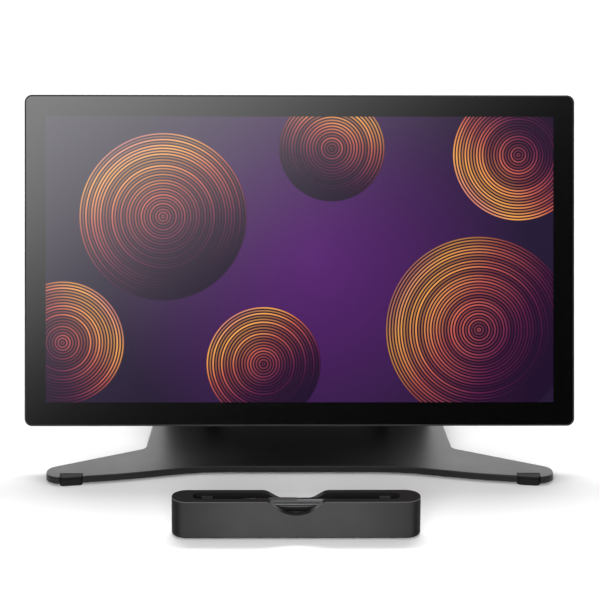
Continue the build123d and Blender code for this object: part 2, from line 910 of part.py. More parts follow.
with BuildPart() as arm_frame:
    with BuildSketch(arm_plane.offset(-arm_half)) as arm_face:
        with BuildLine():
            Polyline(*arm_points(0), close=True)
        make_face()
        fillet(arm_face.vertices().sort_by(Axis.Y)[2:], radius=arm_corner)
        with Locations((0, fold_knuckle_radius / 2)):
            Rectangle(arm_width, fold_knuckle_radius + overrun)
    extrude(amount=arm_core)
    for face_side in (-1, 1):
        with BuildSketch(arm_plane.offset(face_side * arm_web / 2)) as hollow:
            with BuildLine():
                Polyline(*arm_points(arm_wall), close=True)
            make_face()
            fillet(hollow.vertices().sort_by(Axis.Y)[2:], radius=arm_corner - arm_wall)
        extrude(amount=face_side * arm_half, mode=Mode.SUBTRACT)
    with BuildSketch(arm_plane.offset(-arm_half)):
        for rib_place in (-knuckle_half, 0, knuckle_half):
            with Locations((rib_place, arm_length / 2)):
                Rectangle(arm_rib, arm_length - 2 * fold_knuckle_radius)
        with Locations(*arm_screw_places):
            Circle(arm_screw_radius + arm_wall)
    extrude(amount=arm_core)
    with BuildSketch(arm_side.offset(-arm_width / 2)):
        Circle(fold_knuckle_radius)
    extrude(amount=arm_width)
    with BuildSketch(arm_side.offset(-knuckle_half)):
        with Locations((arm_length, 0)):
            Circle(ear_radius)
        with Locations((arm_length - ear_radius, 0)):
            Rectangle(2 * ear_radius, arm_core)
    extrude(amount=tilt_knuckle_width)
    for side in (-1, 1):
        slot_start = block_start if side > 0 else -block_start - block_slot
        with BuildSketch(arm_side.offset(slot_start)):
            Circle(block_radius + gap + overrun / 2)
        extrude(amount=block_slot, mode=Mode.SUBTRACT)
    with BuildSketch(arm_side.offset(-arm_width / 2)):
        Circle(fold_bore_radius)
    extrude(amount=arm_width, mode=Mode.SUBTRACT)
    with BuildSketch(arm_side.offset(-knuckle_half)):
        with Locations((arm_length, 0)):
            Circle(tilt_shaft_radius + running_fit)
    extrude(amount=tilt_knuckle_width, mode=Mode.SUBTRACT)
    with BuildSketch(arm_plane.offset(-arm_half)):
        with Locations(*arm_screw_places):
            Circle(arm_screw_radius)
    extrude(amount=arm_screw_length - arm_cover_thickness, mode=Mode.SUBTRACT)
arm_frame.part.label = "arm_frame"
export_step(arm_frame.part, "parts/arm_frame.step")

# The rear cover carries the lever's ears, the front cover is plain
lever_level = arm_length - lever_drop
rear_face = arm_half + arm_cover_thickness
lever_axis_depth = rear_face + lever_lift
lever_side = arm_side.offset(-lever_width / 2)

with BuildPart() as arm_rear_cover:
    with BuildSketch(arm_plane.offset(-rear_face)) as rear_face_outline:
        with BuildLine():
            Polyline(*arm_points(arm_cover_inset), close=True)
        make_face()
        fillet(rear_face_outline.vertices(), radius=arm_corner - arm_cover_inset)
    extrude(amount=arm_cover_thickness)
    fillet(arm_rear_cover.faces().sort_by(arm_axis)[0].edges(), radius=arm_cover_round)
    for side in (-1, 1):
        ear_start = lever_width / 2 + gap if side > 0 else -lever_width / 2 - gap - lever_ear_width
        with BuildSketch(arm_side.offset(ear_start)):
            with Locations((lever_level, -lever_axis_depth)):
                Circle(lever_eye_radius)
            with Locations((lever_level, lever_lift / 2 - lever_axis_depth)):
                Rectangle(2 * lever_eye_radius, lever_lift)
        extrude(amount=lever_ear_width)
    with BuildSketch(arm_side.offset(-lever_width)):
        with Locations((lever_level, -lever_axis_depth)):
            Circle(lever_pin_radius)
    extrude(amount=2 * lever_width, mode=Mode.SUBTRACT)
    with BuildSketch(arm_plane.offset(-rear_face)):
        with Locations(*arm_screw_places):
            Circle(arm_screw_head)
    extrude(amount=arm_screw_head_depth, mode=Mode.SUBTRACT)
    with BuildSketch(arm_plane.offset(-rear_face)):
        with Locations(*arm_screw_places):
            Circle(arm_screw_radius)
    extrude(amount=arm_cover_thickness, mode=Mode.SUBTRACT)
arm_rear_cover.part.label = "arm_rear_cover"
export_step(arm_rear_cover.part, "parts/arm_rear_cover.step")

with BuildPart() as arm_front_cover:
    with BuildSketch(arm_plane.offset(arm_half)) as front_face_outline:
        with BuildLine():
            Polyline(*arm_points(arm_cover_inset), close=True)
        make_face()
        fillet(front_face_outline.vertices(), radius=arm_corner - arm_cover_inset)
    extrude(amount=arm_cover_thickness)
    fillet(arm_front_cover.faces().sort_by(arm_axis)[-1].edges(), radius=arm_cover_round)
arm_front_cover.part.label = "arm_front_cover"
export_step(arm_front_cover.part, "parts/arm_front_cover.step")

with BuildPart() as arm_cover_screws:
    with BuildSketch(arm_plane.offset(-rear_face)):
        with Locations(*arm_screw_places):
            Circle(arm_screw_head)
    extrude(amount=arm_screw_head_depth)
    with BuildSketch(arm_plane.offset(-rear_face)):
        with Locations(*arm_screw_places):
            Circle(arm_screw_radius)
    extrude(amount=arm_screw_length)
arm_cover_screws.part.label = "arm_cover_screws"
export_step(arm_cover_screws.part, "parts/arm_cover_screws.step")

# Release lever: a paddle hung on a pin between the two ears
with BuildPart() as release_lever:
    with BuildSketch(lever_side):
        with Locations((lever_level, -lever_axis_depth)):
            Circle(lever_eye_radius)
    extrude(amount=lever_width)
    with BuildSketch(arm_plane.offset(-lever_axis_depth - lever_thickness / 2)) as paddle:
        with Locations((0, lever_level)):
            Rectangle(lever_width, lever_length, align=(Align.CENTER, Align.MAX))
        fillet(paddle.vertices().group_by(Axis.Y)[0], radius=lever_corner)
    extrude(amount=lever_thickness)
    with BuildSketch(lever_side):
        with Locations((lever_level, -lever_axis_depth)):
            Circle(lever_pin_radius + running_fit)
    extrude(amount=lever_width, mode=Mode.SUBTRACT)
release_lever.part.label = "release_lever"
export_step(release_lever.part, "parts/release_lever.step")

lever_pin_half = lever_width / 2 + gap + lever_ear_width
with BuildPart() as lever_pin:
    with BuildSketch(arm_side.offset(-lever_pin_half)):
        with Locations((lever_level, -lever_axis_depth)):
            Circle(lever_pin_radius)
    extrude(amount=2 * lever_pin_half)
lever_pin.part.label = "lever_pin"
export_step(lever_pin.part, "parts/lever_pin.step")

# Inside the fold knuckle: bushes beside each block, spring cartridges between them, end caps
with BuildPart() as fold_bushes:
    for bush_start in (
        -block_start - block_slot - bush_length,
        -block_start,
        block_start - bush_length,
        block_start + block_slot,
    ):
        with BuildSketch(arm_side.offset(bush_start)):
            Circle(fold_bore_radius)
            Circle(fold_shaft_radius + running_fit, mode=Mode.SUBTRACT)
        extrude(amount=bush_length)
fold_bushes.part.label = "fold_bushes"
export_step(fold_bushes.part, "parts/fold_bushes.step")

cartridge_end = block_start - bush_length
with BuildPart() as spring_cartridges:
    for cartridge_start in (-cartridge_end, cartridge_end - cartridge_length):
        with BuildSketch(arm_side.offset(cartridge_start)):
            Circle(fold_bore_radius)
            Circle(fold_shaft_radius + gap, mode=Mode.SUBTRACT)
        extrude(amount=cartridge_length)
spring_cartridges.part.label = "spring_cartridges"
export_step(spring_cartridges.part, "parts/spring_cartridges.step")

with BuildPart() as fold_caps:
    for cap_start in (-arm_width / 2, arm_width / 2 - fold_cap_thickness):
        with BuildSketch(arm_side.offset(cap_start)):
            Circle(fold_bore_radius)
        extrude(amount=fold_cap_thickness)
fold_caps.part.label = "fold_caps"
export_step(fold_caps.part, "parts/fold_caps.step")

fold_shaft_half = block_start + block_slot + bush_length
with BuildPart() as fold_shaft:
    with BuildSketch(fold_side.offset(-fold_shaft_half)):
        Circle(fold_shaft_radius)
    extrude(amount=2 * fold_shaft_half)
fold_shaft.part.label = "fold_shaft"
export_step(fold_shaft.part, "parts/fold_shaft.step")


# Hinge blocks: an eye round the fold shaft on a foot that runs back along the base

block_drop = fold_centre.Z - base_top
block_screw_middle = fold_centre.Y + (block_reach - block_radius) / 2
block_screw_places = [
    (side * block_place, block_screw_middle + step * block_screw_pitch / 2)
    for side in (-1, 1)
    for step in (-1, 1)
]
for side, side_name in ((-1, "left"), (1, "right")):
    with BuildPart() as hinge_block:
        with BuildSketch(fold_side.offset(side * block_place - block_width / 2)):
            Circle(block_radius)
            with BuildLine():
                Polyline(
                    (-block_radius, 0),
                    (-block_radius, -block_drop),
                    (block_reach, -block_drop),
                    (block_reach, block_foot - block_drop),
                    (block_radius * sin(radians(45)), block_radius * cos(radians(45))),
                    (0, 0),
                    close=True,
                )
            make_face()
            Circle(fold_shaft_radius, mode=Mode.SUBTRACT)
        extrude(amount=block_width)
        with BuildSketch(Plane.XY.offset(base_top)):
            with Locations(*block_screw_places):
                Circle(block_screw_radius)
        extrude(amount=block_screw_length - base_thickness, mode=Mode.SUBTRACT)
    hinge_block.part.label = f"hinge_block_{side_name}"
    export_step(hinge_block.part, f"parts/hinge_block_{side_name}.step")

with BuildPart() as hinge_block_screws:
    with BuildSketch(Plane.XY.offset(base_clearance)):
        with Locations(*block_screw_places):
            Circle(block_screw_head)
    extrude(amount=block_screw_head_depth)
    with BuildSketch(Plane.XY.offset(base_clearance)):
        with Locations(*block_screw_places):
            Circle(block_screw_radius)
    extrude(amount=block_screw_length)
hinge_block_screws.part.label = "hinge_block_screws"
export_step(hinge_block_screws.part, "parts/hinge_block_screws.step")


# Base plate: a flat plate with two legs that reach forward on either side of a shallow bay

corner_rounds = [
    (bay_half, -bay_depth, bay_round),
    (knee_half, -knee_depth, knee_round),
    (leg_half, -toe_front, toe_round),
    (leg_half, -toe_back, toe_round),
    (crotch_half, crotch_back, crotch_round),
    (rear_half, base_reach, rear_round),
]
right_corners = [(x, foot_y + y) for x, y, corner_round in corner_rounds]
left_corners = [(-x, y) for x, y in reversed(right_corners)]
front_pad_middle = (front_pad_inner + front_pad_outer) / 2
front_pad_width = front_pad_outer - front_pad_inner
leg_front = foot_y - toe_front
pad_top = base_top - front_pad_drop
rear_pad_places = [
    (side * (rear_half - rear_pad_inset_x), base_back - rear_pad_inset_y) for side in (-1, 1)
]

with BuildSketch(Plane.XY) as base_outline:
    with BuildLine():
        Polyline(*right_corners, *left_corners, close=True)
    make_face()
    for x, y, corner_round in corner_rounds:
        ends = [v for v in base_outline.vertices() if abs(abs(v.X) - x) + abs(v.Y - foot_y - y) < gap]
        fillet(ends, radius=corner_round)

with BuildPart() as base_plate:
    with BuildSketch(Plane.XY.offset(base_clearance)):
        add(base_outline.sketch)
    extrude(amount=base_thickness)
    fillet(base_plate.faces().sort_by(Axis.Z)[-1].edges(), radius=base_edge_round)
    with BuildSketch(Plane.XY.offset(base_clearance)):
        for side in (-1, 1):
            with Locations((side * front_pad_middle, leg_front + front_pad_depth)):
                Rectangle(
                    front_pad_width,
                    front_pad_depth + toe_front,
                    align=(Align.CENTER, Align.MAX),
                )
    extrude(amount=base_thickness, mode=Mode.SUBTRACT)
    with BuildSketch(Plane.XY.offset(base_clearance)):
        with Locations(*rear_pad_places):
            RectangleRounded(rear_pad_width, rear_pad_length, rear_pad_width / 2 - pad_round)
    extrude(amount=rear_pad_sink, mode=Mode.SUBTRACT)
    with BuildSketch(Plane.XY.offset(base_clearance)):
        with Locations(*block_screw_places):
            Circle(block_screw_head)
    extrude(amount=block_screw_head_depth, mode=Mode.SUBTRACT)
    with BuildSketch(Plane.XY.offset(base_clearance)):
        with Locations(*block_screw_places):
            Circle(block_screw_radius)
    extrude(amount=base_thickness, mode=Mode.SUBTRACT)
base_plate.part.label = "base_plate"
export_step(base_plate.part, "parts/base_plate.step")

# Front pads fill a notch in each leg's front edge and stand a little proud of it
for side, side_name in ((-1, "left"), (1, "right")):
    with BuildPart() as front_pad:
        with BuildSketch(Plane.XY):
            add(base_outline.sketch)
            offset(amount=front_pad_proud)
            with Locations((side * front_pad_middle, leg_front + front_pad_depth)):
                Rectangle(
                    front_pad_width,
                    front_pad_depth + toe_front,
                    align=(Align.CENTER, Align.MAX),
                    mode=Mode.INTERSECT,
                )
        extrude(amount=pad_top)
        upright = front_pad.edges().filter_by(Axis.Z)
        corners = [edge for edge in upright if edge.center().Y < leg_front + front_pad_length]
        fillet(corners, radius=front_pad_corner)
        fillet(front_pad.faces().sort_by(Axis.Z)[-1].edges(), radius=front_pad_edge)
        with BuildSketch(Plane.XY):
            with Locations((side * front_pad_middle, leg_front + front_pad_depth)):
                Rectangle(front_pad_width, front_pad_length, align=(Align.CENTER, Align.MIN))
        extrude(amount=base_clearance)
    front_pad.part.label = f"front_foot_pad_{side_name}"
    export_step(front_pad.part, f"parts/front_foot_pad_{side_name}.step")

with BuildPart() as rear_foot_pads:
    with BuildSketch(Plane.XY):
        with Locations(*rear_pad_places):
            RectangleRounded(rear_pad_width, rear_pad_length, rear_pad_width / 2 - pad_round)
    extrude(amount=base_clearance + rear_pad_sink)
rear_foot_pads.part.label = "rear_foot_pads"
export_step(rear_foot_pads.part, "parts/rear_foot_pads.step")


# Pen tray: a long rounded block with a slot, a finger scoop in front and a dip behind

tray_rim = (tray_depth - slot_width) / 2
slot_floor = tray_height - slot_depth
scoop_radius = (scoop_width ** 2 / 4 + scoop_drop ** 2) / (2 * scoop_drop)
tray_plane = Plane(origin=(tray_centre[0], tray_centre[1], 0))
tray_face = Plane(
    origin=(tray_shift, tray_front - overrun, tray_height), x_dir=(1, 0, 0), z_dir=(0, -1, 0)
)

with BuildPart() as tray_shell:
    with BuildSketch(tray_plane.offset(tray_foot)):
        RectangleRounded(tray_length, tray_depth, tray_corner)
    extrude(amount=tray_height - tray_foot)
    fillet(tray_shell.faces().sort_by(Axis.Z)[-1].edges(), radius=tray_rim_round)
    fillet(tray_shell.faces().sort_by(Axis.Z)[0].edges(), radius=tray_heel_round)
    with BuildSketch(tray_plane.offset(slot_floor)):
        RectangleRounded(slot_length, slot_width, slot_width / 2 - tray_edge_round)
    extrude(amount=slot_depth, mode=Mode.SUBTRACT)
    with BuildSketch(tray_plane.offset(tray_foot)):
        RectangleRounded(
            tray_length - 2 * tray_wall, tray_depth - 2 * tray_wall, tray_corner - tray_wall
        )
    extrude(amount=slot_floor - tray_wall - tray_foot, mode=Mode.SUBTRACT)
    with BuildSketch(tray_face) as scoop:
        with Locations((0, scoop_radius - scoop_drop)):
            Circle(scoop_radius)
        Rectangle(tray_length, overrun, align=(Align.CENTER, Align.MIN))
        shoulders = [v for v in scoop.vertices() if abs(v.Y) < gap and abs(abs(v.X) - scoop_width / 2) < gap]
        fillet(shoulders, radius=scoop_round)
    extrude(amount=-overrun - tray_rim - tray_edge_round, mode=Mode.SUBTRACT)
    with BuildSketch(tray_face.offset(-overrun - tray_depth / 2)) as dip:
        with BuildLine():
            Polyline(
                (-dip_width / 2, 0),
                (-dip_flat / 2, -dip_drop),
                (dip_flat / 2, -dip_drop),
                (dip_width / 2, 0),
                close=True,
            )
        make_face()
        fillet(dip.vertices().group_by(Axis.Y)[0], radius=dip_foot_round)
        Rectangle(tray_length, overrun, align=(Align.CENTER, Align.MIN))
        shoulders = [v for v in dip.vertices() if abs(v.Y) < gap and abs(abs(v.X) - dip_width / 2) < gap]
        fillet(shoulders, radius=dip_shoulder_round)
    extrude(amount=-overrun - tray_depth / 2, mode=Mode.SUBTRACT)
tray_shell.part.label = "tray_shell"
export_step(tray_shell.part, "parts/tray_shell.step")

with BuildPart() as tray_base:
    with BuildSketch(tray_plane.offset(tray_foot)):
        RectangleRounded(
            tray_length - 2 * tray_wall, tray_depth - 2 * tray_wall, tray_corner - tray_wall
        )
    extrude(amount=tray_base_thickness)
tray_base.part.label = "tray_base"
export_step(tray_base.part, "parts/tray_base.step")

with BuildPart() as tray_feet:
    with BuildSketch(tray_plane):
        with GridLocations(tray_length - 2 * tray_foot_inset, 0, 2, 1):
            RectangleRounded(
                tray_foot_width,
                tray_depth - 2 * tray_foot_width,
                tray_foot_width / 2 - tray_foot,
            )
    extrude(amount=tray_foot)
tray_feet.part.label = "tray_feet"
export_step(tray_feet.part, "parts/tray_feet.step")

with BuildPart() as tray_liner:
    with BuildSketch(tray_plane.offset(slot_floor)):
        RectangleRounded(slot_length, slot_width, slot_width / 2 - tray_edge_round)
    extrude(amount=liner_height)
    with BuildSketch(tray_plane.offset(slot_floor + liner_thickness)):
        RectangleRounded(
            slot_length - 2 * liner_thickness,
            slot_width - 2 * liner_thickness,
            slot_width / 2 - tray_edge_round - liner_thickness,
        )
    extrude(amount=liner_height, mode=Mode.SUBTRACT)
    with BuildSketch(tray_plane.offset(slot_floor)):
        with GridLocations(slot_length - slot_width - rest_length, 0, 2, 1):
            Rectangle(rest_length, slot_width - 2 * liner_thickness)
    extrude(amount=liner_thickness + rest_height)
    with BuildSketch(tray_plane.offset(slot_floor)):
        with Locations((0, (slot_width - liner_thickness) / 2)):
            with GridLocations(slot_length - 2 * tab_inset, 0, 2, 1):
                Rectangle(tab_length, liner_thickness)
    extrude(amount=slot_depth - tab_drop)
tray_liner.part.label = "tray_liner"
export_step(tray_liner.part, "parts/tray_liner.step")


# Pen: turned shapes along X, lying in the liner with its nib to the left

pen_height = slot_floor + liner_thickness + gap + pen_radius
pen_plane = Plane(
    origin=(tray_shift - pen_length / 2, tray_centre[1], pen_height), x_dir=(1, 0, 0), z_dir=(0, -1, 0)
)
pen_axis = Axis(pen_plane.origin, (1, 0, 0))
nib_back = pen_nib_length
nib_front = pen_nib_length - pen_nib_seat
pocket_floor = pen_radius + pen_switch_proud - pen_switch_height
switch_plane = Plane(
    origin=(pen_plane.origin.X + pen_switch_place + pen_switch_length / 2, tray_centre[1], pen_height)
)

with BuildPart() as pen_nib:
    with BuildSketch(pen_plane):
        with BuildLine():
            Line((0, 0), (nib_back, 0))
            Line((nib_back, 0), (nib_back, pen_nib_radius))
            Line((nib_back, pen_nib_radius), (pen_nib_radius, pen_nib_radius))
            RadiusArc((pen_nib_radius, pen_nib_radius), (0, 0), -pen_nib_radius)
        make_face()
    revolve(axis=pen_axis)
pen_nib.part.label = "pen_nib"
export_step(pen_nib.part, "parts/pen_nib.step")

with BuildPart() as pen_grip:
    with BuildSketch(pen_plane):
        with BuildLine():
            Polyline(
                (pen_grip_length, pen_radius),
                (pen_grip_length, 0),
                (nib_back, 0),
                (nib_back, pen_nib_radius),
                (nib_front, pen_nib_radius),
                (nib_front, pen_cone_radius),
                (pen_cone_length, pen_tail_radius),
            )
            ThreePointArc(
                (pen_cone_length, pen_tail_radius),
                ((pen_cone_length + pen_grip_length) / 2, pen_waist_radius),
                (pen_grip_length, pen_radius),
            )
        make_face()
    revolve(axis=pen_axis)
pen_grip.part.label = "pen_grip"
export_step(pen_grip.part, "parts/pen_grip.step")

with BuildPart() as pen_barrel:
    with BuildSketch(pen_plane):
        with BuildLine():
            Polyline(
                (pen_length, 0),
                (pen_grip_length, 0),
                (pen_grip_length, pen_radius),
                (pen_switch_place + pen_switch_length + pen_cone_length, pen_radius),
                (pen_length - pen_dome, pen_tail_radius),
            )
            Spline(
                (pen_length - pen_dome, pen_tail_radius),
                (pen_length - pen_dome / 4, pen_tail_radius * 2 / 3),
                (pen_length, 0),
            )
        make_face()
    revolve(axis=pen_axis)
    with BuildSketch(switch_plane.offset(pocket_floor - pen_switch_travel - gap)):
        SlotOverall(pen_switch_length + 2 * gap, pen_switch_width + 2 * gap)
    extrude(amount=pen_radius, mode=Mode.SUBTRACT)
pen_barrel.part.label = "pen_barrel"
export_step(pen_barrel.part, "parts/pen_barrel.step")

with BuildPart() as pen_switch:
    with BuildSketch(switch_plane.offset(pocket_floor)):
        SlotOverall(pen_switch_length, pen_switch_width)
    extrude(amount=pen_switch_height)
    chamfer(pen_switch.faces().sort_by(Axis.Z)[-1].edges(), length=pen_switch_proud)
pen_switch.part.label = "pen_switch"
export_step(pen_switch.part, "parts/pen_switch.step")
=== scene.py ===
"""Looks, studio and camera of a pen display on a folding stand, with its pen tray.

Metres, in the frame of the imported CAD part: X to the right, Y away from the user, Z up.
"""

import logging
import math
from dataclasses import dataclass
from enum import Enum
from typing import Mapping, Sequence

import bmesh
import bpy
from mathutils import Matrix, Vector


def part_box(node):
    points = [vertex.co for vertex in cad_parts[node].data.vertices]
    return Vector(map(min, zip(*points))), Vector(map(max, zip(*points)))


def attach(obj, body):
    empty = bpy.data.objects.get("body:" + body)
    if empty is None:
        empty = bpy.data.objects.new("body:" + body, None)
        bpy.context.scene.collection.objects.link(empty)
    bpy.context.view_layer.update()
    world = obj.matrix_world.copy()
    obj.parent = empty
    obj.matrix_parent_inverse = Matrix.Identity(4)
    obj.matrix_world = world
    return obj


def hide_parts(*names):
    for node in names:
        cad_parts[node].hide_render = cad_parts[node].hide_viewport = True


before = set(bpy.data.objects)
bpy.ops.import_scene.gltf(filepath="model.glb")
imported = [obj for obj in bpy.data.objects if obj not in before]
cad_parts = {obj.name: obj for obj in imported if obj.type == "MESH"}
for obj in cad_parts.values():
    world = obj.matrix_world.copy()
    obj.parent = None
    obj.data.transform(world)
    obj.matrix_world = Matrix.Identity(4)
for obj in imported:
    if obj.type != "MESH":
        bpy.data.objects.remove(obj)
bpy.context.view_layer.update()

log = logging.getLogger("pen_display")

Pair = tuple[float, float]
Colour = tuple[float, float, float]
Socket = bpy.types.NodeSocket
Source = Socket | float | int | Sequence[float] | bpy.types.Material

MM = 0.001
ACROSS = Vector((1.0, 0.0, 0.0))
DOWN = Vector((0.0, 0.0, -1.0))
SCREEN_LEAN = 18.0
ARM_LEAN = -22.0
CORNER = math.radians(32.0)
NOISE_REACH = (0.3, 0.7)
BLACK: Colour = (0.0, 0.0, 0.0)
WHITE: Colour = (1.0, 1.0, 1.0)


def leaning(degrees: float, outwards: int) -> tuple[Vector, Vector]:
    """Direction up a plate that leans back, and the direction square to it.

    Args:
        degrees: Lean from the vertical, positive when the top is further from the user.
        outwards: 1 for the side towards the user, -1 for the side away from the user.

    Returns:
        The unit vector up the plate, and the unit vector out of it.
    """
    turn = math.radians(degrees)
    up = Vector((0.0, math.sin(turn), math.cos(turn)))
    out = Vector((0.0, -math.cos(turn), math.sin(turn))) * outwards
    return up, out


SCREEN_UP, SCREEN_OUT = leaning(SCREEN_LEAN, 1)
INWARD = -SCREEN_OUT
ARM_BACK = leaning(ARM_LEAN, -1)[1]


def span(node: str, axis: Vector) -> Pair:
    """Reach of a CAD node along an axis.

    Args:
        node: Name of the node.
        axis: Unit vector to measure along.

    Returns:
        The lowest and the highest place of the node's points on the axis.
    """
    places = [point.co.dot(axis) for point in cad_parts[node].data.vertices]
    return min(places), max(places)


class Graph:
    """Short calls that add the nodes of one tree and join them."""

    def __init__(self, tree: bpy.types.NodeTree) -> None:
        """Takes the tree to work on.

        Args:
            tree: Tree of a material, of the world or of a modifier.
        """
        self.tree = tree

    def add(
        self,
        kind: str,
        sources: Mapping[int | str, Source] | None = None,
        **settings: object,
    ) -> bpy.types.Node:
        """Adds one node.

        Args:
            kind: Class name of the node.
            sources: Value or socket for each input, by its name or number.
            **settings: Values of the node's own properties.

        Returns:
            The new node.
        """
        node = self.tree.nodes.new(kind)
        for name, value in settings.items():
            setattr(node, name, value)
        for key, source in (sources or {}).items():
            if isinstance(source, Socket):
                self.tree.links.new(source, node.inputs[key])
            else:
                node.inputs[key].default_value = source
        return node

    def join(self, source: Socket, target: Socket) -> None:
        """Links one socket to another."""
        self.tree.links.new(source, target)

    def maths(self, operation: str, *sources: Source) -> Socket:
        """Result of one step of arithmetic.

        Args:
            operation: Name of the step, such as ADD.
            *sources: Its values or sockets, in order.

        Returns:
            The socket with the result.
        """
        return self.add("ShaderNodeMath", dict(enumerate(sources)), operation=operation).outputs[0]

    def vector_maths(self, operation: str, *sources: Source) -> Socket:
        """Result of one step of arithmetic with vectors.

        Args:
            operation: Name of the step, such as ADD.
            *sources: Its vectors or sockets, in order.

        Returns:
            The socket with the result, a plain value for a dot product or a length.
        """
        node = self.add("ShaderNodeVectorMath", dict(enumerate(sources)), operation=operation)
        return node.outputs[1 if operation in ("DOT_PRODUCT", "LENGTH") else 0]

    def split(self, vector: Socket) -> tuple[Socket, ...]:
        """Sockets with the X, Y and Z of a vector."""
        return tuple(self.add("ShaderNodeSeparateXYZ", {0: vector}).outputs)

    def noise(self, place: Socket, size: float, detail: float) -> Socket:
        """Soft noise over a surface.

        Args:
            place: Place on the object.
            size: Size of one grain, in metres.
            detail: Number of finer layers in it.

        Returns:
            The socket with the noise, from 0 to 1.
        """
        sources = {"Vector": place, "Scale": 1.0 / size, "Detail": detail}
        return self.add("ShaderNodeTexNoise", sources).outputs[0]

    def stretch(
        self, value: Source, start: float, end: float, low: float = 0.0, high: float = 1.0
    ) -> Socket:
        """A value carried from one range to another and held within it.

        Args:
            value: What is carried over.
            start: Value that becomes low.
            end: Value that becomes high.
            low: Result at the start.
            high: Result at the end.

        Returns:
            The socket with the result.
        """
        ends = {"From Min": start, "From Max": end, "To Min": low, "To Max": high}
        return self.add("ShaderNodeMapRange", {"Value": value, **ends}).outputs[0]

    def blend(self, share: Source, first: Source, second: Source) -> Socket:
        """A colour between two others.

        Args:
            share: Part of the second colour, from 0 to 1.
            first: Colour at 0.
            second: Colour at 1.

        Returns:
            The socket with the colour.
        """
        node = self.add("ShaderNodeMix", data_type="RGBA")
        for number, source in ((0, share), (6, first), (7, second)):
            if isinstance(source, Socket):
                self.join(source, node.inputs[number])
            elif number:
                node.inputs[number].default_value = (*source, 1.0)
            else:
                node.inputs[number].default_value = source
        return node.outputs[2]

    def ramp(self, share: Source, stops: Sequence[tuple[float, Colour]]) -> Socket:
        """A colour looked up between named stops.

        Args:
            share: Place to look up, from 0 to 1.
            stops: Place and colour of each stop, in order.

        Returns:
            The socket with the colour.
        """
        node = self.add("ShaderNodeValToRGB", {0: share})
        elements = node.color_ramp.elements
        while len(elements) < len(stops):
            elements.new(1.0)
        for element, (place, colour) in zip(elements, stops):
            element.position = place
            element.color = (*colour, 1.0)
        return node.outputs[0]


def new_material(name: str) -> tuple[bpy.types.Material, Graph, bpy.types.Node]:
    """Starts a material.

    Args:
        name: Name of the material.

    Returns:
        The material, the graph of its tree and its principled shader.
    """
    material = bpy.data.materials.new(name)
    material.use_nodes = True
    tree = material.node_tree
    return material, Graph(tree), tree.nodes["Principled BSDF"]


class Grain(Enum):
    """What covers a surface at its smallest scale: a grain's size, its stretch and its depth."""

    MOULDED = (0.7 * MM, (1.0, 1.0, 1.0), 0.03 * MM)
    POWDER = (0.5 * MM, (1.0, 1.0, 1.0), 0.006 * MM)
    BRUSHED = (0.4 * MM, (0.03, 1.0, 1.0), 0.008 * MM)
    CAST = (2.2 * MM, (1.0, 1.0, 1.0), 0.06 * MM)
    RUBBER = (0.5 * MM, (1.0, 1.0, 1.0), 0.04 * MM)
    POLISHED = (6.0 * MM, (1.0, 1.0, 1.0), 0.004 * MM)


@dataclass(frozen=True)
class Finish:
    """How one material of the set looks."""

    name: str
    colour: Colour
    roughness: float
    grain: Grain
    metallic: float = 0.0
    sheen: float = 0.0
    gloss: float = 0.5
    ior: float = 1.5
    variety: float = 0.08
    unevenness: float = 0.02
    patch: float = 30.0 * MM
    patch_detail: float = 3.0
    grain_detail: float = 2.0
    relief: float = 0.8

    def dress(self) -> bpy.types.Material:
        """Material of this finish, made the first time it is asked for."""
        made = bpy.data.materials.get(self.name)
        if made:
            return made
        material, graph, shader = new_material(self.name)
        shader.inputs["Metallic"].default_value = self.metallic
        shader.inputs["Sheen Weight"].default_value = self.sheen
        shader.inputs["Specular IOR Level"].default_value = self.gloss
        shader.inputs["IOR"].default_value = self.ior
        self.paint(graph, shader)
        return material

    def paint(self, graph: Graph, shader: bpy.types.Node) -> None:
        """Joins this finish's patterns to the shader.

        Args:
            graph: Graph of the material.
            shader: Its principled shader.
        """
        place = graph.add("ShaderNodeTexCoord").outputs["Object"]
        patches = graph.noise(place, self.patch, self.patch_detail)
        size, stretch, depth = self.grain.value
        stretched = graph.vector_maths("MULTIPLY", place, stretch)
        grain = graph.noise(stretched, size, self.grain_detail)
        graph.join(self.tone(graph, place, patches), shader.inputs["Base Color"])
        reach = (self.roughness - self.unevenness, self.roughness + self.unevenness)
        graph.join(graph.stretch(patches, *NOISE_REACH, *reach), shader.inputs["Roughness"])
        relief = graph.add(
            "ShaderNodeBump", {"Height": grain, "Distance": depth, "Strength": self.relief}
        )
        graph.join(relief.outputs[0], shader.inputs["Normal"])

    def tone(self, graph: Graph, place: Socket, patches: Socket) -> Socket:
        """Colour of the surface.

        Args:
            graph: Graph of the material.
            place: Place on the object.
            patches: Soft noise over the surface.

        Returns:
            The socket with the colour.
        """
        darker, lighter = (
            tuple(value * (1.0 + change) for value in self.colour)
            for change in (-self.variety, self.variety)
        )
        return graph.blend(graph.stretch(patches, *NOISE_REACH), darker, lighter)


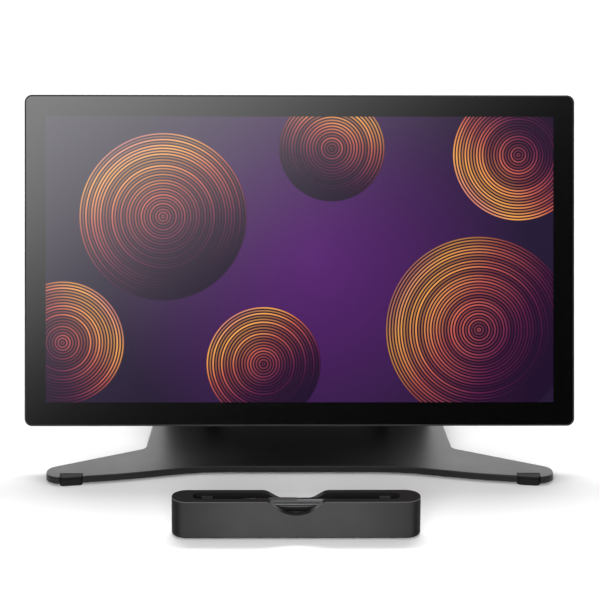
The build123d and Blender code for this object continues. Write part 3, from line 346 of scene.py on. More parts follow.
@dataclass(frozen=True)
class CircuitFinish(Finish):
    """A printed board: lacquer over tracks, with small bare pads."""

    track_pitch: float = 1.6 * MM
    track_reach: Pair = (0.55, 0.60)
    track: Colour = (0.02, 0.11, 0.06)
    pad_share: float = 0.25
    pad_scatter: float = 0.6
    pad_reach: Pair = (0.16, 0.14)
    pad: Colour = (0.62, 0.55, 0.32)

    def tone(self, graph: Graph, place: Socket, patches: Socket) -> Socket:
        """Colour of the board, with tracks across it and pads in some cells.

        Args:
            graph: Graph of the material.
            place: Place on the object.
            patches: Soft noise over the surface.

        Returns:
            The socket with the colour.
        """
        rows = graph.maths("PINGPONG", graph.split(place)[2], self.track_pitch)
        rows = graph.stretch(rows, *(share * self.track_pitch for share in self.track_reach))
        scale = self.pad_share / self.track_pitch
        cells = graph.add(
            "ShaderNodeTexVoronoi",
            {"Vector": place, "Scale": scale, "Randomness": self.pad_scatter},
        ).outputs[0]
        pads = graph.stretch(cells, *self.pad_reach)
        tracks = graph.blend(rows, self.colour, self.track)
        return graph.blend(pads, tracks, self.pad)


@dataclass(frozen=True)
class PaintedShadeFinish(Finish):
    """A moulding whose colour has painted shade on its top, pocket and ends, and a painted
    highlight on its rim.
    """

    # Node whose footprint marks the pocket that takes the painted shade.
    pocket: str = "tray_liner"
    # Painted shade: upward faces and the pocket take a darker colour.
    top_shade_share: float = 0.18
    top_shade_reach: Pair = (0.75, 0.90)
    # Painted highlight on the rounded rim.
    rim_highlight_share: float = 1.7
    rim_highlight_reach: Pair = (0.15, 0.45)
    # Painted shade on the ends, on faces that turn sideways.
    end_shade_share: float = 0.15
    end_shade_reach: Pair = (0.03, 0.65)
    # Painted shade that grows with distance from the tray's middle.
    end_fade_shade_share: float = 0.5
    end_fade_shade_reach: Pair = (50.0 * MM, 100.0 * MM)
    pocket_edge: float = 0.2 * MM

    def tone(self, graph: Graph, place: Socket, patches: Socket) -> Socket:
        """Colour of the walls with painted shade towards the ends, with the painted highlight and
        painted shade laid over it.

        Args:
            graph: Graph of the material.
            place: Place on the object.
            patches: Soft noise over the surface.

        Returns:
            The socket with the colour.
        """
        normal = graph.add("ShaderNodeNewGeometry").outputs["True Normal"]
        sideways, _, upwards = graph.split(normal)
        # Painted shade on faces that point upwards.
        top_shade = graph.stretch(upwards, *self.top_shade_reach)
        # Painted highlight on the rim's fillet, between the walls and the top.
        rim_highlight = graph.stretch(upwards, *self.rim_highlight_reach)
        # Painted shade on faces that turn sideways.
        end = graph.stretch(graph.maths("ABSOLUTE", sideways), *self.end_shade_reach)
        low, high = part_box(self.pocket)
        middle = (low + high) / 2.0
        half = high - middle
        x, y = (
            graph.maths("ABSOLUTE", axis)
            for axis in graph.split(graph.vector_maths("SUBTRACT", place, middle))[:2]
        )
        # Painted shade that grows towards the tray's ends.
        end_fade_shade = graph.stretch(x, *self.end_fade_shade_reach, 0.0, self.end_fade_shade_share)
        # Painted shade in the pocket over the liner.
        inside_x, inside_y = (
            graph.maths("LESS_THAN", axis, reach + self.pocket_edge)
            for axis, reach in ((x, half.x), (y, half.y))
        )
        # The top and the pocket take the painted shade colour.
        top_and_pocket_shade = graph.maths("MAXIMUM", top_shade, graph.maths("MULTIPLY", inside_x, inside_y))
        # top, edge and ends hold the colours of the painted shade on the top, the painted
        # highlight on the rim and the painted shade on the ends.
        top, edge, ends = (
            tuple(value * share for value in self.colour)
            for share in (self.top_shade_share, self.rim_highlight_share, self.end_shade_share)
        )
        # The walls darken towards the ends with painted shade.
        end_shade_mask = graph.maths("MAXIMUM", end, end_fade_shade)
        walls_with_end_shade = graph.blend(end_shade_mask, super().tone(graph, place, patches), ends)
        # Painted highlight on the rim, then painted shade on the top and pocket, over the walls.
        return graph.blend(top_and_pocket_shade, graph.blend(rim_highlight, walls_with_end_shade, edge), top)


PLATE = Finish(
    "satin black plate", (0.009, 0.009, 0.010), 0.39, Grain.POWDER, gloss=0.31, variety=0.05
)
HOUSING = Finish("black moulded housing", (0.014, 0.014, 0.015), 0.42, Grain.MOULDED, gloss=0.3)
GRILLE = Finish("matt black grille", (0.009, 0.009, 0.010), 0.55, Grain.MOULDED)
HINGE = Finish("blackened steel", (0.05, 0.05, 0.053), 0.38, Grain.CAST, metallic=0.8)
STEEL = Finish("plated steel", (0.55, 0.56, 0.58), 0.26, Grain.BRUSHED, metallic=1.0)
SCREW = Finish("black oxide screw steel", (0.09, 0.09, 0.095), 0.32, Grain.POLISHED, metallic=0.9)
CASTING = Finish("die-cast arm metal", (0.22, 0.225, 0.235), 0.46, Grain.CAST, metallic=0.9)
ARM_COVER = Finish("grey-black arm cover", (0.018, 0.018, 0.020), 0.45, Grain.MOULDED)
BRASS = Finish("brass insert", (0.62, 0.44, 0.17), 0.30, Grain.POLISHED, metallic=1.0)
BUSH = Finish("bronze bush", (0.50, 0.32, 0.15), 0.36, Grain.POLISHED, metallic=1.0)
CHASSIS = Finish("pressed chassis sheet", (0.48, 0.49, 0.50), 0.38, Grain.BRUSHED, metallic=1.0)
SHIELD = Finish("tinned shield foil", (0.60, 0.60, 0.58), 0.30, Grain.POLISHED, metallic=1.0)
DIFFUSER = Finish("milky diffuser", (0.72, 0.73, 0.74), 0.50, Grain.POLISHED)
BOARD = CircuitFinish("lacquered circuit board", (0.008, 0.055, 0.030), 0.32, Grain.POLISHED)
FAN = Finish("black fan plastic", (0.022, 0.022, 0.024), 0.36, Grain.POLISHED)
COPPER = Finish("copper spreader", (0.70, 0.36, 0.22), 0.30, Grain.BRUSHED, metallic=1.0)
SOFT_GRIP = Finish("soft rubber grip", (0.017, 0.017, 0.018), 0.66, Grain.RUBBER, sheen=0.1)
KEY = Finish("satin key plastic", (0.040, 0.040, 0.043), 0.34, Grain.POWDER)
PAD = Finish("rubber foot pad", (0.011, 0.011, 0.012), 0.60, Grain.RUBBER, gloss=0.12)
# The tray's colour carries painted shade and a painted highlight.
TRAY = PaintedShadeFinish(
    "graphite tray plastic with painted shade", (0.064, 0.064, 0.065), 0.50, Grain.MOULDED, gloss=0.06
)
LINER = Finish("silicone liner", (0.045, 0.045, 0.047), 0.60, Grain.RUBBER)
PEN = Finish("black pen plastic", (0.016, 0.016, 0.017), 0.18, Grain.POWDER, gloss=0.8)
PEN_RUBBER = Finish("pen grip rubber", (0.013, 0.013, 0.014), 0.58, Grain.RUBBER, sheen=0.1)
NIB = Finish("hard nib plastic", (0.10, 0.10, 0.105), 0.40, Grain.POLISHED)


@dataclass(frozen=True)
class Disc:
    """One round of fine rings in the picture.

    Its place and radius are in metres from the picture's middle, lit_from is in radians.
    """

    shift: float
    rise: float
    radius: float
    rings: float
    lit_from: float


@dataclass(frozen=True)
class ScreenFinish:
    """Etched glass over a lit picture with a black border."""

    name: str = "etched display glass"
    border: Colour = (0.0012, 0.0012, 0.0013)
    roughness: float = 0.095
    unevenness: float = 0.02
    grain_size: float = 0.5 * MM
    grain_detail: float = 1.0
    grain_depth: float = 0.0004 * MM
    picture_width: float = 476.0 * MM
    picture_height: float = 268.0 * MM
    picture_rise: float = 1.0 * MM
    edge: float = 0.35 * MM
    night: Colour = (0.018, 0.009, 0.034)
    dusk: Colour = (0.095, 0.014, 0.160)
    glow_shift: float = 0.012
    glow_rise: float = 0.004
    glow_reach: float = 0.20
    strands: tuple[tuple[float, Colour], ...] = (
        (0.0, (0.045, 0.006, 0.040)),
        (0.3, (0.24, 0.022, 0.100)),
        (0.6, (0.66, 0.13, 0.085)),
        (0.85, (1.00, 0.43, 0.085)),
        (1.0, (0.68, 0.22, 0.20)),
    )
    strand_reach: Pair = (-0.9, 1.0)
    hollow: Colour = (0.013, 0.004, 0.024)
    line_reach: Pair = (0.34, 0.12)
    shade_reach: Pair = (-0.8, 0.5)
    shade_range: Pair = (0.1, 1.0)
    strength_range: Pair = (0.3, 1.2)
    ring_step: float = 1.7
    disc_edge: float = 0.985
    discs: tuple[Disc, ...] = (
        Disc(0.205, 0.098, 0.062, 23.0, 3.9),
        Disc(-0.222, -0.078, 0.058, 21.0, 0.6),
        Disc(-0.128, 0.040, 0.079, 29.0, 2.0),
        Disc(0.168, -0.066, 0.088, 32.0, 2.6),
        Disc(0.030, 0.104, 0.050, 18.0, 1.2),
        Disc(-0.034, -0.098, 0.054, 20.0, 2.2),
    )

    def dress(self) -> bpy.types.Material:
        """Material of the glass and the panel, made the first time it is asked for."""
        made = bpy.data.materials.get(self.name)
        if made:
            return made
        material, graph, shader = new_material(self.name)
        shader.inputs["Base Color"].default_value = (*self.border, 1.0)
        shader.inputs["Emission Strength"].default_value = 1.0
        place = graph.add("ShaderNodeTexCoord").outputs["Object"]
        grain = graph.noise(place, self.grain_size, self.grain_detail)
        relief = graph.add("ShaderNodeBump", {"Height": grain, "Distance": self.grain_depth})
        graph.join(relief.outputs[0], shader.inputs["Normal"])
        reach = (self.roughness - self.unevenness, self.roughness + self.unevenness)
        graph.join(graph.stretch(grain, *NOISE_REACH, *reach), shader.inputs["Roughness"])
        graph.join(self.picture(graph, place), shader.inputs["Emission Color"])
        return material

    def picture(self, graph: Graph, place: Socket) -> Socket:
        """Light of the screen: a violet dusk with rounds of fine rings.

        Args:
            graph: Graph of the material.
            place: Place on the object.

        Returns:
            The socket with the colour.
        """
        low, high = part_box("cover_glass")
        middle = (low + high) / 2.0 + SCREEN_UP * self.picture_rise
        flat = graph.vector_maths("SUBTRACT", place, middle)
        x = graph.split(flat)[0]
        y = graph.vector_maths("DOT_PRODUCT", flat, SCREEN_UP)

        away = self.distance(graph, x, y, self.glow_shift, self.glow_rise)
        light = graph.blend(graph.stretch(away, 0.0, self.glow_reach), self.dusk, self.night)
        for disc in self.discs:
            light = self.lay_disc(graph, light, x, y, disc)

        inside_x, inside_y = (
            graph.maths("SUBTRACT", size / 2.0, graph.maths("ABSOLUTE", axis))
            for size, axis in ((self.picture_width, x), (self.picture_height, y))
        )
        inside = graph.stretch(graph.maths("MINIMUM", inside_x, inside_y), 0.0, self.edge)
        return graph.blend(inside, BLACK, light)

    @staticmethod
    def distance(graph: Graph, x: Socket, y: Socket, shift: float, rise: float) -> Socket:
        """Distance in the picture's plane from a point of it.

        Args:
            graph: Graph of the material.
            x: Place across the picture.
            y: Place up the picture.
            shift: The point's place across.
            rise: The point's place up.

        Returns:
            The socket with the distance.
        """
        across = graph.maths("POWER", graph.maths("SUBTRACT", x, shift), 2.0)
        along = graph.maths("POWER", graph.maths("SUBTRACT", y, rise), 2.0)
        return graph.maths("SQRT", graph.maths("ADD", across, along))

    def lay_disc(self, graph: Graph, below: Socket, x: Socket, y: Socket, disc: Disc) -> Socket:
        """Lays one round of fine rings over the picture.

        Args:
            graph: Graph of the material.
            below: Colour that the round covers.
            x: Place across the picture.
            y: Place up the picture.
            disc: Place and size of the round.

        Returns:
            The socket with the colour.
        """
        from_middle = self.distance(graph, x, y, disc.shift, disc.rise)
        away = graph.maths("DIVIDE", from_middle, disc.radius)
        count = graph.maths("MULTIPLY", away, disc.rings)
        whole = graph.maths("FLOOR", count)
        number = graph.maths("MULTIPLY_ADD", whole, self.ring_step, disc.rings)
        strength = graph.add(
            "ShaderNodeTexWhiteNoise", {"W": number}, noise_dimensions="1D"
        ).outputs[0]
        off = graph.maths("ABSOLUTE", graph.maths("SUBTRACT", graph.maths("FRACT", count), 0.5))
        line = graph.stretch(off, *self.line_reach)
        across, along = math.cos(disc.lit_from), math.sin(disc.lit_from)
        side = graph.maths("MULTIPLY", x, across / disc.radius)
        lit = graph.maths("MULTIPLY_ADD", y, along / disc.radius, side)
        centre = (disc.shift * across + disc.rise * along) / disc.radius
        lit = graph.maths("SUBTRACT", lit, centre)
        colour = graph.ramp(graph.stretch(lit, *self.strand_reach), self.strands)
        shade = graph.stretch(lit, *self.shade_reach, *self.shade_range)
        shade = graph.maths(
            "MULTIPLY", shade, graph.stretch(strength, 0.0, 1.0, *self.strength_range)
        )
        drawn = graph.blend(graph.maths("MULTIPLY", line, shade), self.hollow, colour)
        return graph.blend(graph.stretch(away, 1.0, self.disc_edge), below, drawn)


SCREEN = ScreenFinish()


def paint_nodes(part: str, finishes: Mapping[str, Finish | ScreenFinish]) -> None:
    """Gives CAD nodes their materials through their slots.

    Args:
        part: What the nodes are together, for the log.
        finishes: Finish of each node, by the node's name.
    """
    for node, finish in finishes.items():
        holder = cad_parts[node]
        for place in holder.material_slots:
            place.link = "DATA"
            place.material = finish.dress()
    log.info("%s: %d nodes painted", part, len(finishes))


def add_object(name: str, data: bpy.types.ID) -> bpy.types.Object:
    """Adds an object to the scene.

    Args:
        name: Name of the object.
        data: Its mesh, lamp or camera.

    Returns:
        The object.
    """
    holder = bpy.data.objects.new(name, data)
    bpy.context.scene.collection.objects.link(holder)
    return holder


def bake(carrier: bpy.types.Object) -> bpy.types.Mesh:
    """Keeps what an object's modifiers make, and deletes the object and its own mesh.

    Args:
        carrier: The object.

    Returns:
        The new mesh.
    """
    source = carrier.data
    graph = bpy.context.evaluated_depsgraph_get()
    mesh = bpy.data.meshes.new_from_object(carrier.evaluated_get(graph))
    bpy.data.objects.remove(carrier)
    bpy.data.meshes.remove(source)
    return mesh


class Tree:
    """A geometry tree with named inputs, run once over a set of points."""

    def __init__(self, name: str) -> None:
        """Starts an empty tree that takes points and gives a mesh.

        Args:
            name: Name of the tree.
        """
        self.group = bpy.data.node_groups.new(name, "GeometryNodeTree")
        self.graph = Graph(self.group)
        self.values: dict[str, object] = {}
        self.group.interface.new_socket("Places", in_out="INPUT", socket_type="NodeSocketGeometry")
        self.group.interface.new_socket("Mesh", in_out="OUTPUT", socket_type="NodeSocketGeometry")
        self.entry = self.group.nodes.new("NodeGroupInput")

    def size(self, name: str, value: float | int | Vector | bpy.types.Material) -> Socket:
        """Adds a named input.

        Args:
            name: Name of the input.
            value: What it is set to.

        Returns:
            The input's socket inside the tree.
        """
        kinds = {float: "Float", int: "Int", Vector: "Vector", bpy.types.Material: "Material"}
        kind = f"NodeSocket{kinds[type(value)]}"
        socket = self.group.interface.new_socket(name, in_out="INPUT", socket_type=kind)
        self.values[socket.identifier] = value
        return self.entry.outputs[name]

    def lift(self, shape: Socket, rise: Source) -> Socket:
        """A shape moved along Z.

        Args:
            shape: What is moved.
            rise: How far it moves up.

        Returns:
            The socket with the moved shape.
        """
        move = self.graph.add("ShaderNodeCombineXYZ", {2: rise}).outputs[0]
        return self.graph.add("GeometryNodeTransform", {0: shape, "Translation": move}).outputs[0]

    def thread(
        self, radius: Source, length: Source, pitch: Source, sides: tuple[int, int], share: float
    ) -> Socket:
        """The spiral ridge of a thread, up from the origin along Z.

        Args:
            radius: Radius of the spiral.
            length: Its length.
            pitch: Rise of one turn.
            sides: Sides of one turn, and of the ridge's section.
            share: Radius of that section, as a share of the pitch.

        Returns:
            The socket with the ridge.
        """
        spiral = self.graph.add(
            "GeometryNodeCurveSpiral",
            {
                "Resolution": sides[0],
                "Rotations": self.graph.maths("DIVIDE", length, pitch),
                "Start Radius": radius,
                "End Radius": radius,
                "Height": length,
            },
        ).outputs[0]
        ridge = self.graph.add(
            "GeometryNodeCurvePrimitiveCircle",
            {"Resolution": sides[1], "Radius": self.graph.maths("MULTIPLY", pitch, share)},
        ).outputs[0]
        return self.graph.add("GeometryNodeCurveToMesh", {0: spiral, 1: ridge}).outputs[0]

    def place_copies(self, shape: Socket, axis: Vector, finish: Finish) -> None:
        """Ends the tree: the shape at every point, made real and given its material.

        Args:
            shape: What is repeated.
            axis: Where the shape's Z points.
            finish: Finish of the copies.
        """
        points = self.entry.outputs["Places"]
        axis_socket = self.size("Axis", axis)
        turn = self.graph.add(
            "FunctionNodeAlignRotationToVector", {"Vector": axis_socket}, axis="Z"
        ).outputs[0]
        copies = self.graph.add(
            "GeometryNodeInstanceOnPoints", {"Points": points, "Instance": shape, "Rotation": turn}
        )
        real = self.graph.add("GeometryNodeRealizeInstances", {0: copies.outputs[0]})
        material = self.size("Finish", finish.dress())
        dressed = self.graph.add(
            "GeometryNodeSetMaterial", {"Geometry": real.outputs[0], "Material": material}
        )
        leave = self.group.nodes.new("NodeGroupOutput")
        self.graph.join(dressed.outputs[0], leave.inputs[0])

    def run(self, name: str, places: Sequence[Vector]) -> bpy.types.Object:
        """Runs the tree over points and keeps the result as a plain mesh.

        Args:
            name: Name of the new piece.
            places: The points.

        Returns:
            The new piece.
        """
        points = bpy.data.meshes.new(f"{name}_places")
        points.from_pydata(places, [], [])
        carrier = add_object(f"{name}_carrier", points)
        modifier = carrier.modifiers.new(name, "NODES")
        modifier.node_group = self.group
        for identifier, value in self.values.items():
            modifier[identifier] = tuple(value) if isinstance(value, Vector) else value
        return make_piece(name, bake(carrier))


def make_piece(name: str, mesh: bpy.types.Mesh) -> bpy.types.Object:
    """Links a mesh as a piece, its faces outward and smooth up to its corners.

    Args:
        name: Name of the piece.
        mesh: Its mesh, in the frame's place.

    Returns:
        The new piece.
    """
    body = bmesh.new()
    body.from_mesh(mesh)
    bmesh.ops.recalc_face_normals(body, faces=body.faces)
    body.to_mesh(mesh)
    body.free()
    mesh.name = name
    mesh.shade_smooth()
    mesh.set_sharp_from_angle(angle=CORNER)
    return add_object(name, mesh)


def settle(piece: bpy.types.Object, body: str, slot: str, *nodes: str) -> None:
    """Hands a finished piece to its body.

    Args:
        piece: The piece.
        body: Body that it moves with.
        slot: Name of a material slot; not used.
        *nodes: CAD nodes that it stands for.
    """
    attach(piece, body)
    if nodes:
        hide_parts(*nodes)
    log.info("%s: %d faces on %s", piece.name, len(piece.data.polygons), body)


@dataclass
class ScrewSet:
    """Socket-head screws that stand where the CAD node has plain ones.

    A share is of the head's, the shank's or the pitch's size, as its name and its use say.
    """

    node: str
    body: str
    axis: Vector
    shank_radius: float
    head_height: float
    finish: Finish = SCREW
    drive_share: float = 0.52
    drive_depth_share: float = 0.7
    drive_sides: int = 6
    crown_share: float = 0.14
    core_share: float = 0.84
    pitch_share: float = 0.36
    ridge_share: float = 0.42
    thread_share: float = 0.92
    thread_gap_share: float = 0.03
    cluster_share: float = 6.0
    head_sides: int = 40
    head_rows: int = 12
    thread_sides: int = 14
    ridge_sides: int = 3

    def places(self) -> tuple[list[Vector], float]:
        """Where the screws stand, from the points of the CAD node.

        Returns:
            The points on top of the heads, and the heads' radius.
        """
        side = self.axis.orthogonal().normalized()
        other = self.axis.cross(side)
        top = span(self.node, self.axis)[1]
        reach = self.cluster_share * self.shank_radius
        spots: list[list[Pair]] = []
        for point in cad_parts[self.node].data.vertices:
            spot = (point.co.dot(side), point.co.dot(other))
            near = [group for group in spots if math.dist(group[0], spot) < reach]
            if near:
                near[0].append(spot)
            else:
                spots.append([spot])
        middles = []
        radius = 0.0
        for group in spots:
            columns = list(zip(*group))
            a, b = ((min(column) + max(column)) / 2.0 for column in columns)
            radius = (max(columns[0]) - min(columns[0])) / 2.0
            middles.append(side * a + other * b + self.axis * top)
        return middles, radius

    def head(self, tree: Tree, head_radius: float, height: Socket) -> Socket:
        """The crowned head with its hexagon socket, the top at the origin.

        Args:
            tree: Tree that the screws are made in.
            head_radius: Radius of the head.
            height: Socket with the head's height.

        Returns:
            The socket with the shape.
        """
        graph = tree.graph
        radius = tree.size("Head radius", head_radius)
        crown = tree.size("Crown", head_radius * self.crown_share)
        drive = tree.size("Drive radius", head_radius * self.drive_share)
        drive_depth = tree.size("Drive depth", self.head_height * self.drive_depth_share)
        sizes = {
            "Vertices": self.head_sides,
            "Side Segments": self.head_rows,
            "Radius": radius,
            "Depth": height,
        }
        plain = graph.add("GeometryNodeMeshCylinder", sizes).outputs[0]
        place = graph.add("GeometryNodeInputPosition").outputs[0]
        top = graph.maths("MULTIPLY", height, 0.5)
        into = graph.maths("SUBTRACT", graph.split(place)[2], graph.maths("SUBTRACT", top, crown))
        share = graph.stretch(graph.maths("DIVIDE", into, crown), 0.0, 1.0)
        bend = graph.maths("MULTIPLY", graph.maths("POWER", share, 2.0), self.crown_share)
        narrow = graph.maths("SUBTRACT", 1.0, bend)
        factor = graph.add("ShaderNodeCombineXYZ", {0: narrow, 1: narrow, 2: 1.0}).outputs[0]
        drawn_in = graph.vector_maths("MULTIPLY", place, factor)
        crowned = graph.add("GeometryNodeSetPosition", {"Geometry": plain, "Position": drawn_in})
        sizes = {
            "Vertices": self.drive_sides,
            "Radius": drive,
            "Depth": graph.maths("MULTIPLY", drive_depth, 2.0),
        }
        hexagon = graph.add("GeometryNodeMeshCylinder", sizes).outputs[0]
        cut = graph.add("GeometryNodeMeshBoolean", operation="DIFFERENCE")
        graph.join(crowned.outputs[0], cut.inputs["Mesh 1"])
        graph.join(tree.lift(hexagon, top), cut.inputs["Mesh 2"])
        return tree.lift(cut.outputs[0], graph.maths("MULTIPLY", height, -0.5))

    def shank(self, tree: Tree, height: Socket, length: Socket) -> tuple[Socket, Socket]:
        """The shank and its thread, below the head.

        Args:
            tree: Tree that the screws are made in.
            height: Socket with the head's height.
            length: Socket with the shank's length.

        Returns:
            The sockets with the shapes of the thread and of the shank.
        """
        graph = tree.graph
        core = tree.size("Core radius", self.shank_radius * self.core_share)
        pitch = tree.size("Pitch", self.shank_radius * self.pitch_share)
        sizes = {"Vertices": self.thread_sides, "Radius": core, "Depth": length}
        rod = graph.add("GeometryNodeMeshCylinder", sizes).outputs[0]
        middle = graph.maths("SUBTRACT", graph.maths("MULTIPLY", length, -0.5), height)
        cut = graph.maths("MULTIPLY", length, self.thread_share)
        sides = (self.thread_sides, self.ridge_sides)
        thread = tree.thread(core, cut, pitch, sides, self.ridge_share)
        end = graph.maths("MULTIPLY", graph.maths("ADD", height, length), -1.0)
        foot = graph.maths("MULTIPLY_ADD", length, self.thread_gap_share, end)
        return tree.lift(thread, foot), tree.lift(rod, middle)

    def build(self) -> None:
        """Screws with a hexagon socket, a softened edge and a cut thread."""
        places, head_radius = self.places()
        low, high = span(self.node, self.axis)
        tree = Tree(f"{self.node} tree")
        height = tree.size("Head height", self.head_height)
        length = tree.size("Shank length", high - low - self.head_height)
        whole = tree.graph.add("GeometryNodeJoinGeometry")
        for part in (*self.shank(tree, height, length), self.head(tree, head_radius, height)):
            tree.graph.join(part, whole.inputs[0])
        tree.place_copies(whole.outputs[0], self.axis, self.finish)
        settle(tree.run(f"{self.node}_cut", places), self.body, "steel", self.node)


@dataclass
class ThreadedBores:
    """Thread ridges in the brass inserts in the display's side edges."""

    node: str = "thread_inserts"
    bore_radius: float = 3.175 * MM
    depth: float = 10.0 * MM
    pitch: float = 1.27 * MM
    turn_sides: int = 28
    ridge_sides: int = 4
    ridge_share: float = 0.3

    def build(self) -> None:
        """A spiral ridge along the whole bore of each insert."""
        low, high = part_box(self.node)
        middle = (low + high) / 2.0
        ends = (low.x + self.depth / 2.0, high.x - self.depth / 2.0)
        places = [Vector((x, middle.y, middle.z)) for x in ends]
        tree = Tree("insert thread tree")
        radius = tree.size("Bore radius", self.bore_radius)
        pitch = tree.size("Pitch", self.pitch)
        length = tree.size("Ridge length", self.depth - 2.0 * self.pitch)
        sides = (self.turn_sides, self.ridge_sides)
        thread = tree.thread(radius, length, pitch, sides, self.ridge_share)
        centred = tree.lift(thread, tree.graph.maths("MULTIPLY", length, -0.5))
        tree.place_copies(centred, ACROSS, BRASS)
        settle(tree.run("insert_threads", places), "display", "steel")


@dataclass
class Display:
    """The display unit: glass, panel, electronics, rear cover, grips and keys."""

    key_count: int = 8
    screw_shank: float = 1.25 * MM
    screw_head: float = 1.4 * MM

    def build(self) -> None:
        """Paints the display's nodes and adds its cut screws and threads."""
        paint_nodes(
            "display",
            {
                "cover_glass": SCREEN,
                "lcd_panel": SCREEN,
                "rear_cover": HOUSING,
                "exhaust_grille": GRILLE,
                "intake_grille": GRILLE,
                "chassis": CHASSIS,
                "backlight": DIFFUSER,
                "sensor_board": BOARD,
                "sensor_shield": SHIELD,
                "main_board": BOARD,
                "heat_spreader": COPPER,
                "fan_housing": FAN,
                "fan_rotor": FAN,
                "port_sockets": STEEL,
                "grip_left": SOFT_GRIP,
                "grip_right": SOFT_GRIP,
                "key_boards": BOARD,
                "thread_inserts": BRASS,
                "power_button": KEY,
                "touch_switch": KEY,
            },
        )
        keys = {f"express_key_{number + 1}": KEY for number in range(self.key_count)}
        paint_nodes("display keys", keys)
        ScrewSet("cover_screws", "display", INWARD, self.screw_shank, self.screw_head).build()
        ThreadedBores().build()


@dataclass
class TiltHead:
    """The plate and ears that carry the display on the arm."""

    screw_shank: float = 2.0 * MM
    screw_head: float = 2.4 * MM

    def build(self) -> None:
        """Paints the tilt head and cuts its screws."""
        paint_nodes(
            "tilt head", {"tilt_bracket": HINGE, "tilt_shaft": STEEL, "tilt_washers": BUSH}
        )
        ScrewSet("bracket_screws", "display", INWARD, self.screw_shank, self.screw_head).build()


@dataclass
class Arm:
    """The ribbed arm with its covers, springs and release lever."""

    screw_shank: float = 1.5 * MM
    screw_head: float = 1.2 * MM

    def build(self) -> None:
        """Paints the arm and cuts its screws."""
        paint_nodes(
            "arm",
            {
                "arm_frame": CASTING,
                "arm_rear_cover": ARM_COVER,
                "arm_front_cover": ARM_COVER,
                "lever_pin": STEEL,
                "fold_bushes": BUSH,
                "spring_cartridges": STEEL,
                "fold_caps": ARM_COVER,
                "release_lever": KEY,
            },
        )
        ScrewSet("arm_cover_screws", "arm", ARM_BACK, self.screw_shank, self.screw_head).build()


@dataclass
class FrontPad:
    """A soft pad over the front edge of a leg, in the place of the plain one."""

    side: str
    voxel: float = 0.45 * MM
    smooth_share: float = 0.5
    softening: int = 16
    front_normal: float = -0.4
    seam_drop: float = 1.7 * MM
    seam_depth: float = 1.1 * MM
    seam_half: float = 0.5 * MM
    join: float = 0.001 * MM

    def build(self) -> None:
        """The pad with rounded edges, and a seam under its top lip."""
        node = f"front_foot_pad_{self.side}"
        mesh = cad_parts[node].data.copy()
        body = bmesh.new()
        body.from_mesh(mesh)
        bmesh.ops.remove_doubles(body, verts=body.verts, dist=self.join)
        body.to_mesh(mesh)
        body.free()
        carrier = add_object(f"{node}_carrier", mesh)
        remesh = carrier.modifiers.new("even faces", "REMESH")
        remesh.mode = "VOXEL"
        remesh.voxel_size = self.voxel
        soften = carrier.modifiers.new("soften", "SMOOTH")
        soften.factor = self.smooth_share
        soften.iterations = self.softening
        soft = bake(carrier)
        seam = max(vertex.co.z for vertex in soft.vertices) - self.seam_drop
        fronts = [point for point in soft.vertices if point.normal.y < self.front_normal]
        for point in fronts:
            from_seam = (point.co.z - seam) / self.seam_half
            point.co.y += self.seam_depth * math.exp(-(from_seam**2))
        piece = make_piece(f"{node}_soft", soft)
        soft.materials.clear()
        soft.materials.append(PAD.dress())
        settle(piece, "base", "pad_rubber", node)


@dataclass
class StandBase:
    """The base plate with its legs, pads and hinge blocks."""

    screw_shank: float = 2.5 * MM
    screw_head: float = 2.4 * MM

    def build(self) -> None:
        """Paints the base, cuts the screws of its hinge blocks and adds the front pads."""
        paint_nodes(
            "stand base",
            {
                "base_plate": PLATE,
                "rear_foot_pads": PAD,
                "hinge_block_left": HINGE,
                "hinge_block_right": HINGE,
                "fold_shaft": STEEL,
            },
        )
        ScrewSet("hinge_block_screws", "base", DOWN, self.screw_shank, self.screw_head).build()
        for side in ("left", "right"):
            FrontPad(side).build()


@dataclass
class PenTray:
    """The tray on the desk and the pen that lies in it."""

    def build(self) -> None:
        """Paints the tray and the pen."""
        paint_nodes(
            "pen tray and pen",
            {
                "tray_shell": TRAY,
                "tray_base": HOUSING,
                "tray_feet": PAD,
                "tray_liner": LINER,
                "pen_barrel": PEN,
                "pen_grip": PEN_RUBBER,
                "pen_nib": NIB,
                "pen_switch": KEY,
            },
        )


